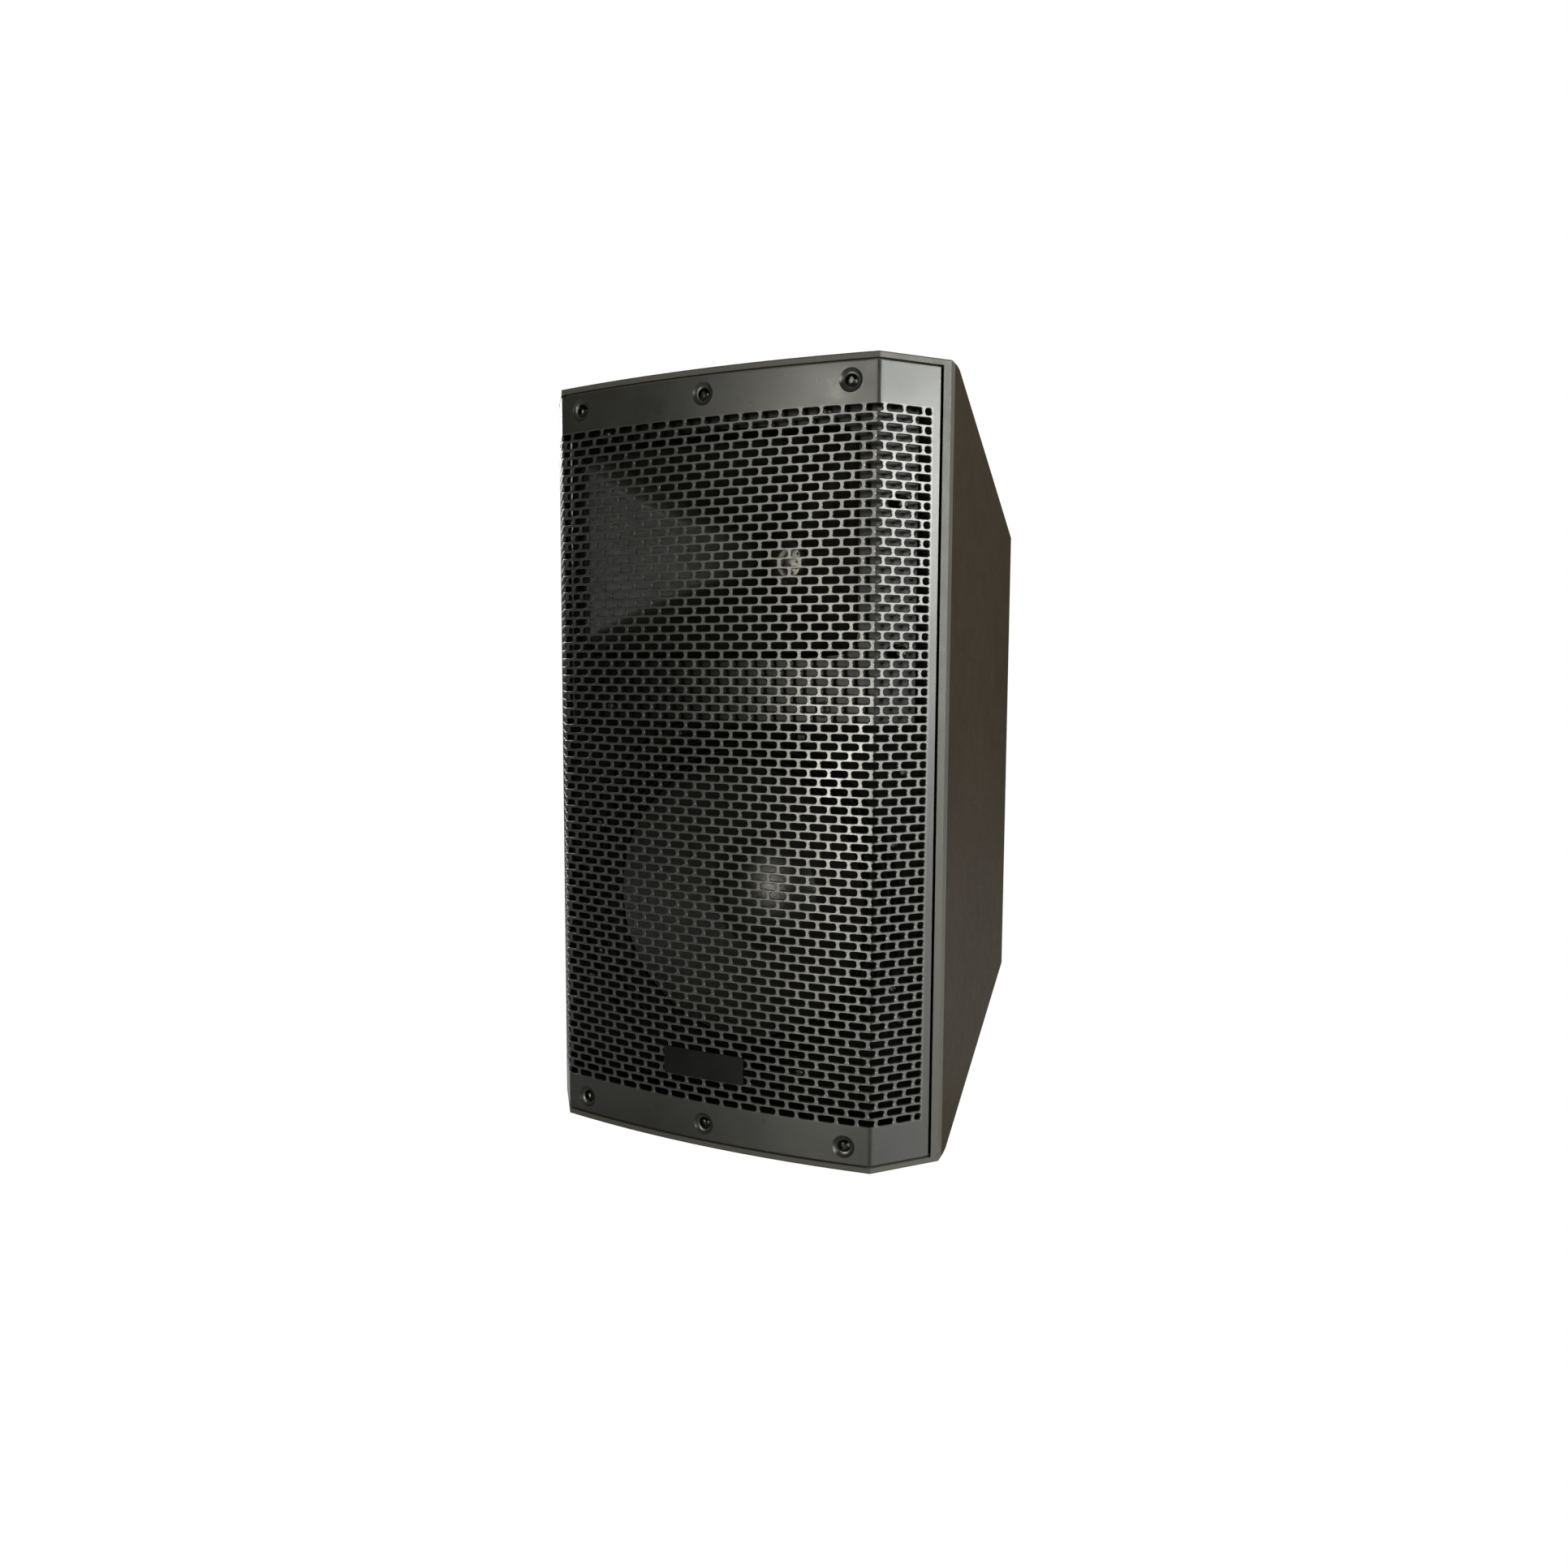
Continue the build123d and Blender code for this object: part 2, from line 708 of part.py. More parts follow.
def fly_inserts():
    """Three threaded bushings, each closed at its inner end."""
    one = Pos(0, 0, -insert_length / 2) * Cylinder(insert_radius, insert_length)
    one -= Pos(0, 0, 1 - insert_length / 2) * Cylinder(insert_bore_radius, insert_length - 2)
    tops = [Pos(side * insert_spread, insert_place, half_height) * one for side in (1, -1)]
    return tops + [rear_at(0, cab_depth, insert_low_z()) * one]


def rubber_feet():
    foot = Pos(0, 0, -foot_height / 2) * Cylinder(foot_radius, foot_height)
    foot = chamfer(foot.edges().group_by(Axis.Z)[0], 1)
    foot -= Pos(0, 0, -foot_height) * Cylinder(3.6, 4)
    foot -= Cylinder(1.8 + fit_gap, 20)
    return [Pos(x, y, -half_height) * foot for x, y in foot_places()]


def foot_screws():
    one = screw(3.3, 1.2, 1.8, 12)
    return [Pos(x, y, -half_height - foot_height + 2) * Rot(180, 0, 0) * one for x, y in foot_places()]


def port_tubes():
    """Two reflex ports let in through the rear face."""
    profile = [
        (port_radius, cab_depth - port_length),
        (port_radius + port_wall, cab_depth - port_length),
        (port_radius + port_wall, cab_depth - port_flange_thick),
        (port_flange_radius, cab_depth - port_flange_thick),
        (port_flange_radius, cab_depth - 0.6),
        (port_radius + 3, cab_depth),
        (port_radius + 0.8, cab_depth - 1.2),
        (port_radius, cab_depth - 4),
    ]
    return [turned(profile, port_rise, side * port_spread) for side in (1, -1)]


# ---------------------------------------------------------------- woofer
def cone_y(radius, thick=0.0):
    """Depth of the cone's front face at a radius."""
    share = (cone_radius - radius) / (cone_radius - coil_radius)
    return cone_front + cone_depth * share**0.86 + thick


def woofer_frame():
    """Cast basket: flange, pierced conical wall, foot and spider shelf."""
    foot = basket_foot_radius
    shelf = basket_back - 14
    mouth = woofer_mouth_radius
    profile = [
        (woofer_radius, flange_front),
        (woofer_radius, flange_back),
        (mouth + 3.5, flange_back),
        (mouth + 3.5, flange_back + 1),
        (foot, shelf + 1),
        (foot, basket_back),
        (basket_hole, basket_back),
        (basket_hole, basket_back - 5),
        (foot - 12, basket_back - 5),
        (foot - 12, shelf),
        (foot - 3.5, shelf),
        (mouth, flange_front + 3.5),
        (mouth, flange_front),
    ]
    frame = turned(profile)
    window = block(foot + 5, mouth + 30, flange_back + 5, shelf - 3, -31, 31)
    for k in range(8):
        frame -= Rot(0, 45 * k, 0) * window
    frame = Pos(0, 0, woofer_z) * frame
    for x, z in woofer_screw_places:
        frame -= rod(2.4 + fit_gap, flange_front - 1, flange_back + 1, x, z)
    return frame


def woofer_mount_gasket():
    ring = tube(woofer_radius, woofer_mouth_radius + 4.5, flange_back, woofer_seat, 0, woofer_z)
    for x, z in woofer_screw_places:
        ring -= rod(2.4 + fit_gap, flange_back - 1, woofer_seat + 1, x, z)
    return ring


def woofer_front_gasket():
    outer, inner = woofer_bolt_radius - 4.6, woofer_mouth_radius + 1
    return tube(outer, inner, flange_front - 3, flange_front - surround_land, 0, woofer_z)


def woofer_surround():
    """Pleated edge: an outer land on the flange, two rolls, an inner edge beside the cone."""
    outer = woofer_mouth_radius
    inner = cone_radius + play
    steps = 20
    rolls = []
    for k in range(steps + 1):
        r = outer - (outer - inner) * k / steps
        rolls.append((r, flange_front - surround_land / 2 - roll_height * math.sin(4 * math.pi * k / steps)))
    front = [(r, y - surround_land / 2) for r, y in rolls]
    back = [(r, y + surround_land / 2) for r, y in reversed(rolls)]
    land = woofer_bolt_radius - 4.6
    points = [(land, flange_front), (land, flange_front - surround_land)] + front + back
    return turned(points, woofer_z)


def woofer_cone():
    radii = [cone_radius - k * (cone_radius - coil_radius - 0.6) / 9 for k in range(10)]
    front = [(r, cone_y(r)) for r in radii]
    back = [(r, cone_y(r, cone_thick)) for r in reversed(radii)]
    return turned(front + back, woofer_z)


def woofer_dust_cap():
    """A dome on the cone, towards the listener."""
    return dome(cap_radius, cap_height, 0.8, cone_y(cap_radius) - 0.1, -1, woofer_z)


def woofer_spider():
    """Corrugated disc from the shelf to the former."""
    inner = coil_radius + former_thick + play
    outer = basket_foot_radius - 5
    base = basket_back - 14
    steps = 32
    wave = []
    for k in range(steps + 1):
        r = outer - 8 - (outer - 8 - inner) * k / steps
        wave.append((r, base - 0.4 - 1.4 * math.sin(2 * math.pi * 4 * k / steps)))
    front = [(r, y - 0.4) for r, y in wave]
    back = [(r, y + 0.4) for r, y in reversed(wave)]
    return turned([(outer, base), (outer, base - 0.8)] + front + back, woofer_z)


def woofer_voice_coil():
    """Former with its winding, centred in the gap."""
    inner, outer = coil_radius, coil_radius + former_thick
    start = cone_y(coil_radius + 0.6) + 0.3
    middle = basket_back + woofer_plate_thick / 2
    near, far = middle - winding_length / 2, middle + winding_length / 2
    wind = outer + winding_thick
    profile = [(inner, start), (outer, start), (outer, near), (wind, near), (wind, far), (inner, far)]
    return turned(profile, woofer_z)


def woofer_top_plate():
    back = basket_back + woofer_plate_thick
    return tube(woofer_magnet_radius, gap_radius, basket_back, back, 0, woofer_z)


def woofer_magnet():
    y = basket_back + woofer_plate_thick
    return tube(woofer_magnet_radius + 5, 52, y, y + woofer_magnet_thick, 0, woofer_z)


def woofer_back_plate():
    """Back plate with its vented pole."""
    y = basket_back + woofer_plate_thick + woofer_magnet_thick
    plate = rod(woofer_magnet_radius, y, y + woofer_plate_thick, 0, woofer_z)
    plate += rod(coil_radius - coil_gap, basket_back - 1, y + 1, 0, woofer_z)
    return plate - rod(12, 0, y + 50, 0, woofer_z)


def woofer_terminals():
    """Insulating block with two tabs, on the basket's foot."""
    x = -basket_foot_radius
    y0, y1 = basket_back - 12, basket_back - 1
    base = block(x - 8, x - 0.05, y0, y1, woofer_z - 14, woofer_z + 14)
    tabs = [block(x - 16, x - 8, y0 + 4, y0 + 5, woofer_z + z - 2.4, woofer_z + z + 2.4) for z in (-8, 8)]
    return [base + tabs[0] + tabs[1]]


def woofer_screws():
    one = screw(4.3, 2.8, 2.4, 16)
    return [front_at(x, flange_front, z) * one for x, z in woofer_screw_places]


# ---------------------------------------------------------------- horn
horn_sections = [  # depth, width, height, corner
    (throat_depth, 2 * throat_radius, 2 * throat_radius, 0.98 * throat_radius),
    (118.0, 52.0, 40.0, 13.0),
    (84.0, 112.0, 72.0, 14.0),
    (52.0, 178.0, 112.0, 15.0),
    (26.0, 226.0, 148.0, 15.0),
    (2.0, 262.0, 182.0, 15.0),
]


def flare(extra):
    """The horn's passage, or its outside when made larger by a wall."""
    faces = []
    for y, width, height, corner in horn_sections:
        face = RectangleRounded(width + 2 * extra, height + 2 * extra, corner + extra)
        faces.append(Pos(0, y, horn_z) * Rot(90, 0, 0) * face)
    return loft(faces)


def horn_waveguide():
    """Flared passage with a bowed front panel, a skirt round it and a bolting flange behind."""
    half = horn_panel_width / 2
    front = front_zone(horn_inset, 300)
    whole = prism(front, horn_bottom, horn_top)
    solid_zone = whole & block(-half, half, 0, skirt_back, horn_bottom, horn_top)
    inner = prism(front_zone(horn_inset + horn_panel_thick, 300), horn_bottom, horn_top)
    s = horn_skirt
    hollow = inner & block(-half + s, half - s, 0, skirt_back + 1, horn_bottom + s, horn_top - s)
    part = solid_zone - hollow
    for x, z in horn_screw_places:
        part += rod(horn_boss_radius, front_y(x, horn_inset) + 3, skirt_back, x, z) & solid_zone
    part += flare(horn_wall) & prism(front, horn_bottom, horn_top)
    y = throat_depth
    part += rod(throat_flange_radius, y - throat_flange_thick, y, 0, horn_z)
    part -= flare(0)
    for x, z in horn_screw_places:
        part -= rod(small_screw["shank_radius"] + fit_gap, 0, board_depth, x, z)
        part -= rod(6.2, 0, horn_screw_seat(x), x, z)
    for x, z in hf_bolt_places():
        part -= rod(3 + fit_gap, y - throat_flange_thick - 1, y + 1, x, z)
    return part


def horn_screw_seat(x):
    """Depth of the flat seat under a horn screw's head."""
    if abs(x) <= bow_half:
        return front_y(abs(x) + 6, horn_inset) + 0.5
    return front_y(abs(x) + 5, horn_inset) + 0.5


def horn_gasket():
    half = horn_panel_width / 2
    ring = block(-half, half, skirt_back, board_depth, horn_bottom, horn_top)
    return ring - block(-half + 5, half - 5, 0, board_depth + 1, horn_bottom + 5, horn_top - 5)


def horn_screws():
    places = []
    for x, z in horn_screw_places:
        seat = horn_screw_seat(x)
        one = screw(**small_screw, length=board_depth + board_thick - 2 - seat)
        places.append(front_at(x, seat, z) * one)
    return places


# ---------------------------------------------------------------- compression driver
def hf_bolt_places():
    angles = [math.radians(45 + 90 * k) for k in range(4)]
    return [(hf_bolt_radius * math.cos(a), horn_z + hf_bolt_radius * math.sin(a)) for a in angles]


hf_plate_back = throat_depth + hf_plate_thick
hf_magnet_back = hf_plate_back + hf_magnet_thick
hf_top_back = hf_magnet_back + hf_top_thick


def hf_yoke():
    """Front plate and pole in one; the passage widens through the pole towards the dome."""
    plate = rod(hf_radius, throat_depth, hf_plate_back, 0, horn_z)
    back = hf_top_back - 0.5
    outer = hf_coil_radius - 0.6
    plate += rod(outer, throat_depth, back, 0, horn_z)
    passage = [
        (0, throat_depth - 1),
        (throat_radius, throat_depth - 1),
        (throat_radius, hf_plate_back),
        (outer - 4, back),
        (outer - 4, back + 1),
        (0, back + 1),
    ]
    plate -= turned(passage, horn_z)
    for x, z in hf_bolt_places():
        plate -= rod(3 + fit_gap, 0, 400, x, z)
    return plate


def hf_magnet():
    return tube(hf_radius - 14, hf_coil_radius + 3, hf_plate_back, hf_magnet_back, 0, horn_z)


def hf_phase_plug():
    """Pierced disc in the pole's rear mouth."""
    back = hf_top_back - 0.5
    radius = hf_coil_radius - 0.6 - 4 - fit_gap
    slope = (radius + fit_gap - throat_radius) / (back - hf_plate_back)
    deep = 6.0
    plug = turned([(0, back), (radius, back), (radius - slope * deep, back - deep), (0, back - deep)], horn_z)
    for k in range(10):
        angle = math.radians(36 * k)
        plug -= rod(1.4, 0, 400, 10.5 * math.cos(angle), horn_z + 10.5 * math.sin(angle))
    for k in range(5):
        angle = math.radians(72 * k)
        plug -= rod(1.2, 0, 400, 5.2 * math.cos(angle), horn_z + 5.2 * math.sin(angle))
    return plug


def hf_top_plate():
    return tube(hf_radius, hf_coil_radius + 1.3, hf_magnet_back, hf_top_back, 0, horn_z)


def hf_diaphragm():
    """Dome with its former and coil."""
    radius, thick = hf_coil_radius + 0.5, 0.5
    base = hf_top_back + 1.2
    former = tube(radius, hf_coil_radius, base - 7, base, 0, horn_z)
    return former + dome(radius, hf_dome_height, thick, base, 1, horn_z)


def hf_suspension():
    y = hf_top_back
    inner = hf_coil_radius + 0.5 + play
    profile = [
        (inner, y + 0.8),
        (inner, y + 0.5),
        (inner + 4, y),
        (inner + 9, y),
        (inner + 9, y + 0.3),
        (inner + 4.2, y + 0.3),
    ]
    return turned(profile, horn_z)


def hf_cap():
    """Rear cover over the dome."""
    y = hf_top_back
    r = hf_radius - 1
    profile = [
        (r - 8, y),
        (r, y),
        (r, y + hf_cap_depth - 4),
        (r - 4, y + hf_cap_depth),
        (0, y + hf_cap_depth),
        (0, y + hf_cap_depth - 2.5),
        (r - 8, y + hf_cap_depth - 2.5),
    ]
    return turned(profile, horn_z)


def hf_terminals():
    x = -(hf_radius - 1)
    y = hf_top_back + 4
    base = block(x - 5, x + 3, y, y + 8, horn_z - 9, horn_z + 9) - rod(hf_radius - 0.95, 0, 400, 0, horn_z)
    tabs = [block(x - 11, x - 4.9, y + 3, y + 3.8, horn_z + z - 1.6, horn_z + z + 1.6) for z in (-5, 5)]
    return base + tabs[0] + tabs[1]


def hf_bolts():
    one = screw(4.6, 2.8, 3.0, throat_flange_thick + hf_plate_thick - 1)
    return [front_at(x, throat_depth - throat_flange_thick, z) * one for x, z in hf_bolt_places()]


# ---------------------------------------------------------------- places on the amplifier's panel, (x, z)
jack_places = {
    "combo_jack_1": (-58.0, amp_rise + 6.0),
    "combo_jack_2": (-58.0, amp_rise - 36.0),
    "link_output": (-58.0, amp_rise - 78.0),
}
knob_places = [(-10.0, amp_rise + 6.0), (-10.0, amp_rise - 36.0)]
button_places = {"boost_button": (28.0, amp_rise + 6.0), "lift_button": (28.0, amp_rise - 36.0)}
light_places = [(58.0, amp_rise + 12.0 - 11.0 * k) for k in range(4)]
rocker_place = (-18.0, amp_rise - 126.0)
inlet_place = (42.0, amp_rise - 122.0)
sink_z = amp_rise + amp_height / 2 - 14 - sink_height / 2
panel_screw_places = [
    (side * (amp_width / 2 - 5), amp_rise + share * (amp_height / 2 - 5))
    for side in (1, -1)
    for share in (-1, -0.33, 0.33, 1)
]
jack_flange = (26.0, 31.0, 2.0)
jack_screw_offset = (9.5, 12.0)
latch_rise = 13.0
latch_size = (7.4, 2.6)
rocker_cavity = (rocker_width / 2 + play, rocker_length / 2 + 1.1)
rocker_wall = 1.9
rocker_pivot_y = panel_out - 1.0
inlet_flange = (50.0, 42.0, 2.0)
inlet_body = (28.0, 38.0, 26.0)
drawer_size = (20.0, 8.0, 20.0)
drawer_drop = 10.0
board_front = panel_in - board_stand - circuit_thick
cover_half_x = amp_width / 2 + amp_gap - amp_lip - 1
cover_half_z = amp_height / 2 + amp_gap - amp_lip - 1
cover_front = panel_in - amp_cover_depth
lead_radius = 1.2
lead_x = -74.0
lead_start = board_front - 9
woofer_lead_z = [woofer_z - 8, woofer_z + 8]
hf_lead_z = [60.0, 70.0]


# ---------------------------------------------------------------- amplifier
def amp_panel():
    """Plate with every cut-out for the controls and connectors."""
    x, z = amp_width / 2, amp_height / 2
    plate = block(-x, x, panel_in, panel_out, amp_rise - z, amp_rise + z)
    plate = fillet(plate.edges().filter_by(Axis.Y), 4)
    for jx, jz in jack_places.values():
        plate -= rod(jack_radius + fit_gap, 0, 400, jx, jz)
        for side in (1, -1):
            hx, hz = jx + side * jack_screw_offset[0], jz - side * jack_screw_offset[1]
            plate -= rod(1.3 + fit_gap, 0, 400, hx, hz)
    for name in ("combo_jack_1", "combo_jack_2"):
        jx, jz = jack_places[name]
        half = latch_size[0] / 2 + 2 * play
        plate -= block(jx - half, jx + half, 0, 400, jz + jack_radius - 1, jz + latch_rise + 2)
    for kx, kz in knob_places:
        plate -= rod(shaft_radius + 1.5 + fit_gap, 0, 400, kx, kz)
    for bx, bz in button_places.values():
        plate -= rod(button_radius + fit_gap, 0, 400, bx, bz)
    for lx, lz in light_places:
        plate -= rod(1.5 + fit_gap, 0, 400, lx, lz)
    rx, rz = rocker_place
    half_x, half_z = rocker_cavity[0] + rocker_wall + fit_gap, rocker_cavity[1] + rocker_wall + fit_gap
    plate -= block(rx - half_x, rx + half_x, 0, 400, rz - half_z, rz + half_z)
    ix, iz = inlet_place
    half_x, half_z = inlet_body[0] / 2 + fit_gap, inlet_body[1] / 2 + fit_gap
    plate -= block(ix - half_x, ix + half_x, 0, 400, iz - half_z, iz + half_z)
    for side in (1, -1):
        plate -= rod(1.6 + fit_gap, 0, 400, ix + side * (inlet_flange[0] / 2 - 5), iz)
    for px, pz in panel_screw_places:
        plate -= rod(2.0 + fit_gap, 0, 400, px, pz)
    return plate


def panel_screws():
    one = screw(4.0, 2.4, 2.0, amp_panel_thick + amp_lip_thick + 5)
    return [rear_at(x, panel_out, z) * one for x, z in panel_screw_places]


def heat_sink():
    """Finned extrusion on the panel's outer face."""
    x = sink_width / 2
    low, high = sink_z - sink_height / 2, sink_z + sink_height / 2
    part = block(-x, x, panel_out, panel_out + sink_base, low, high)
    pitch = (sink_width - 2.0) / (fin_count - 1)
    for k in range(fin_count):
        middle = -x + 1.0 + k * pitch
        base = panel_out + sink_base
        part += block(middle - 1.0, middle + 1.0, base, base + fin_height, low, high)
    return part


def amp_cover():
    """Sheet-metal box that seals the electronics from the cabinet's air."""
    x, z = cover_half_x, cover_half_z
    part = block(-x, x, cover_front, panel_in, amp_rise - z, amp_rise + z)
    w = amp_cover_wall
    part -= block(-x + w, x - w, cover_front + w, panel_in + 1, amp_rise - z + w, amp_rise + z - w)
    for z in woofer_lead_z + hf_lead_z:
        part -= rod(lead_radius + play, 0, cover_front + 10, lead_x, z)
    return part


def board_post_places():
    x, z = cover_half_x - 12, cover_half_z - 10
    return [(side * x, amp_rise + rise) for side in (1, -1) for rise in (-z, -15, z)]


def circuit_board():
    x, z = cover_half_x - 5, cover_half_z - 4
    board = block(-x, x, board_front, board_front + circuit_thick, amp_rise - z, amp_rise + z)
    for px, pz in board_post_places():
        board -= rod(1.6, 0, 400, px, pz)
    return board


def board_posts():
    return [rod(3, board_front + circuit_thick, panel_in, x, z) for x, z in board_post_places()]


def mains_transformer():
    """Toroid on the board, with its clamping disc."""
    y0 = board_front - 26
    core = tube(33, 9, y0, board_front, 22, amp_rise - 96)
    edges = core.edges().filter_by(GeomType.CIRCLE).group_by(Axis.Y)[0]
    core = fillet(edges, 4)
    clamp = rod(8.5, y0 - 3, board_front, 22, amp_rise - 96) + rod(16, y0 - 3, y0, 22, amp_rise - 96)
    return core + clamp


def reservoir_capacitors():
    return [rod(11, board_front - 30, board_front, x, amp_rise + z) for x in (-30, -4) for z in (-50, -24)]


def power_transistors():
    return [block(x - 8, x + 8, panel_in - 5, panel_in, sink_z - 12, sink_z + 9) for x in (-45, -20, 20, 45)]


def lead_headers():
    """Blocks on the board where the leads to the drivers start."""
    headers = []
    for zs in (woofer_lead_z, hf_lead_z):
        headers.append(block(lead_x - 3, lead_x + 4, lead_start, board_front, min(zs) - 4, max(zs) + 4))
    return headers


def lead(points, radius):
    """One insulated lead along straight runs and arcs."""
    path = FilletPolyline(*points, radius=radius)
    section = Plane(origin=path @ 0, z_dir=path % 0) * Circle(lead_radius)
    return sweep(section, path=path)


def woofer_leads():
    """From the amplifier to the tabs of the woofer."""
    tab_x = -basket_foot_radius - 16
    tab_y = basket_back - 12 + 4.5
    out_x = tab_x - 24
    leads = []
    for z in woofer_lead_z:
        points = [
            (lead_x, lead_start, z),
            (lead_x, tab_y + 85, z),
            (out_x, tab_y + 32, z),
            (out_x, tab_y, z),
            (tab_x, tab_y, z),
        ]
        leads.append(lead(points, 10))
    return leads


def hf_leads():
    """From the amplifier to the tabs of the compression driver."""
    tab_x = -(hf_radius - 1) - 11
    tab_y = hf_top_back + 4 + 3.4
    leads = []
    for z, up in zip(hf_lead_z, (-5, 5)):
        points = [
            (lead_x, lead_start, z),
            (lead_x, tab_y + 45, z),
            (lead_x, tab_y, horn_z + up),
            (tab_x, tab_y, horn_z + up),
        ]
        leads.append(lead(points, 8))
    return leads


def connector_shell(x, z):
    """Flange and barrel of a connector."""
    w, h, t = jack_flange
    flange = block(x - w / 2, x + w / 2, panel_out, panel_out + t, z - h / 2, z + h / 2)
    flange = fillet(flange.edges().filter_by(Axis.Y), 2.5)
    part = flange + rod(jack_radius, panel_out - jack_length, panel_out, x, z)
    for side in (1, -1):
        part -= rod(1.3 + fit_gap, 0, 400, x + side * jack_screw_offset[0], z - side * jack_screw_offset[1])
    return part


def combo_jack(name):
    """Combination socket: a wide mouth, a jack hole at its centre, three contact holes, a latch slot."""
    x, z = jack_places[name]
    part = connector_shell(x, z)
    face = panel_out + jack_flange[2]
    part -= rod(9.4, face - 5, face + 1, x, z)
    part -= tube(9.4, 7.6, face - 14, face, x, z)
    part -= rod(3.3, face - 24, face + 1, x, z)
    for k in range(3):
        angle = math.radians(90 + 120 * k)
        part -= rod(1.2, face - 17, face + 1, x + 5.4 * math.cos(angle), z + 5.4 * math.sin(angle))
    half_x, half_z = latch_size[0] / 2 + play, latch_size[1] / 2 + play
    part -= block(x - half_x, x + half_x, 0, 400, z + latch_rise - half_z, z + latch_rise + half_z)
    return part


def jack_latch(name):
    """Push tab that frees the plug."""
    x, z = jack_places[name]
    outer = panel_out + jack_flange[2] + jack_travel
    half_x, half_z = latch_size[0] / 2, latch_size[1] / 2
    middle = z + latch_rise
    tab = block(x - half_x, x + half_x, panel_out - 5, outer, middle - half_z, middle + half_z)
    return fillet(tab.edges().group_by(Axis.Y)[-1], 0.5)


def link_output():
    x, z = jack_places["link_output"]
    face = panel_out + jack_flange[2]
    return connector_shell(x, z) - rod(9.2, face - 15, face + 1, x, z)


def link_pins():
    x, z = jack_places["link_output"]
    face = panel_out + jack_flange[2]
    pins = []
    for k in range(3):
        angle = math.radians(90 + 120 * k)
        pins.append(rod(1.2, face - 15, face - 2, x + 5.4 * math.cos(angle), z + 5.4 * math.sin(angle)))
    return pins


def jack_screws():
    one = screw(2.6, 1.4, 1.3, 8)
    places = []
    for x, z in jack_places.values():
        for side in (1, -1):
            sx, sz = x + side * jack_screw_offset[0], z - side * jack_screw_offset[1]
            places.append(rear_at(sx, panel_out + jack_flange[2], sz) * one)
    return places


def gain_pots():
    """Rotary controls behind the panel, each with a bushing through it."""
    pots = []
    for x, z in knob_places:
        pot = rod(8.2, panel_in - 11, panel_in, x, z)
        pot += rod(shaft_radius + 1.5, panel_in - 1, panel_out + 0.3, x, z)
        pots.append(pot - rod(shaft_radius + running, panel_in - 9, 400, x, z))
    return pots


def gain_shaft(place):
    x, z = place
    return rod(shaft_radius, panel_in - 8.5, panel_out + 8, x, z)


def gain_knob(place):
    """Fluted knob with a raised pointer."""
    x, z = place
    y0 = panel_out + 0.8
    y1 = y0 + knob_length
    knob = turned(
        [
            (0, y0),
            (knob_radius, y0),
            (knob_radius, y0 + 2),
            (knob_radius - 1.6, y0 + 2.6),
            (knob_radius - 2.2, y1),
            (0, y1),
        ],
        z,
        x,
    )
    for k in range(18):
        angle = math.radians(20 * k + 10)
        reach = knob_radius - 1.4
        knob -= rod(0.75, y0 + 2.6, y1 + 1, x + reach * math.cos(angle), z + reach * math.sin(angle))
    knob += block(x - 0.6, x + 0.6, y1 - 1, y1 + 0.5, z, z + knob_radius - 2.6)
    return knob - rod(shaft_radius + 0.02, y0 - 1, panel_out + 8.05, x, z)


def push_button(name):
    x, z = button_places[name]
    cap = rod(button_radius, panel_in - 8, panel_out + 4, x, z)
    return fillet(cap.edges().filter_by(GeomType.CIRCLE).group_by(Axis.Y)[-1], 0.6)


def button_switches():
    """Switch bodies in which the push buttons slide."""
    bodies = []
    for x, z in button_places.values():
        body = block(x - 6, x + 6, panel_in - 13, panel_in, z - 6, z + 6)
        bodies.append(body - rod(button_radius + running, panel_in - 8 - button_travel - play, 400, x, z))
    return bodies


def power_switch():
    """Housing of the rocker."""
    x, z = rocker_place
    cx, cz = rocker_cavity
    w = rocker_wall
    part = block(x - cx - w, x + cx + w, panel_in - 14, panel_out, z - cz - w, z + cz + w)
    fx, fz = cx + w + 1.5, cz + w + 1.5
    part += block(x - fx, x + fx, panel_out, panel_out + 1.5, z - fz, z + fz)
    part -= block(x - cx, x + cx, rocker_pivot_y - 7, panel_out + 5, z - cz, z + cz)
    return part - Pos(x, rocker_pivot_y, z) * Rot(0, 90, 0) * Cylinder(1.2 + running, 2 * cx + 2.4)


def power_rocker():
    """Shallow V on a cross pin, at rest with its upper end out."""
    x, z = rocker_place
    half = rocker_length / 2
    outline = Polyline((-3, -half), (5, -half), (3.2, 0), (5, half), (-3, half), close=True)
    body = Plane.YZ * make_face(outline)
    part = extrude(body, rocker_width / 2, both=True)
    part += Rot(0, 90, 0) * Cylinder(1.2, rocker_width + 2.2)
    return Pos(x, rocker_pivot_y, z) * Rot(rocker_tilt, 0, 0) * part


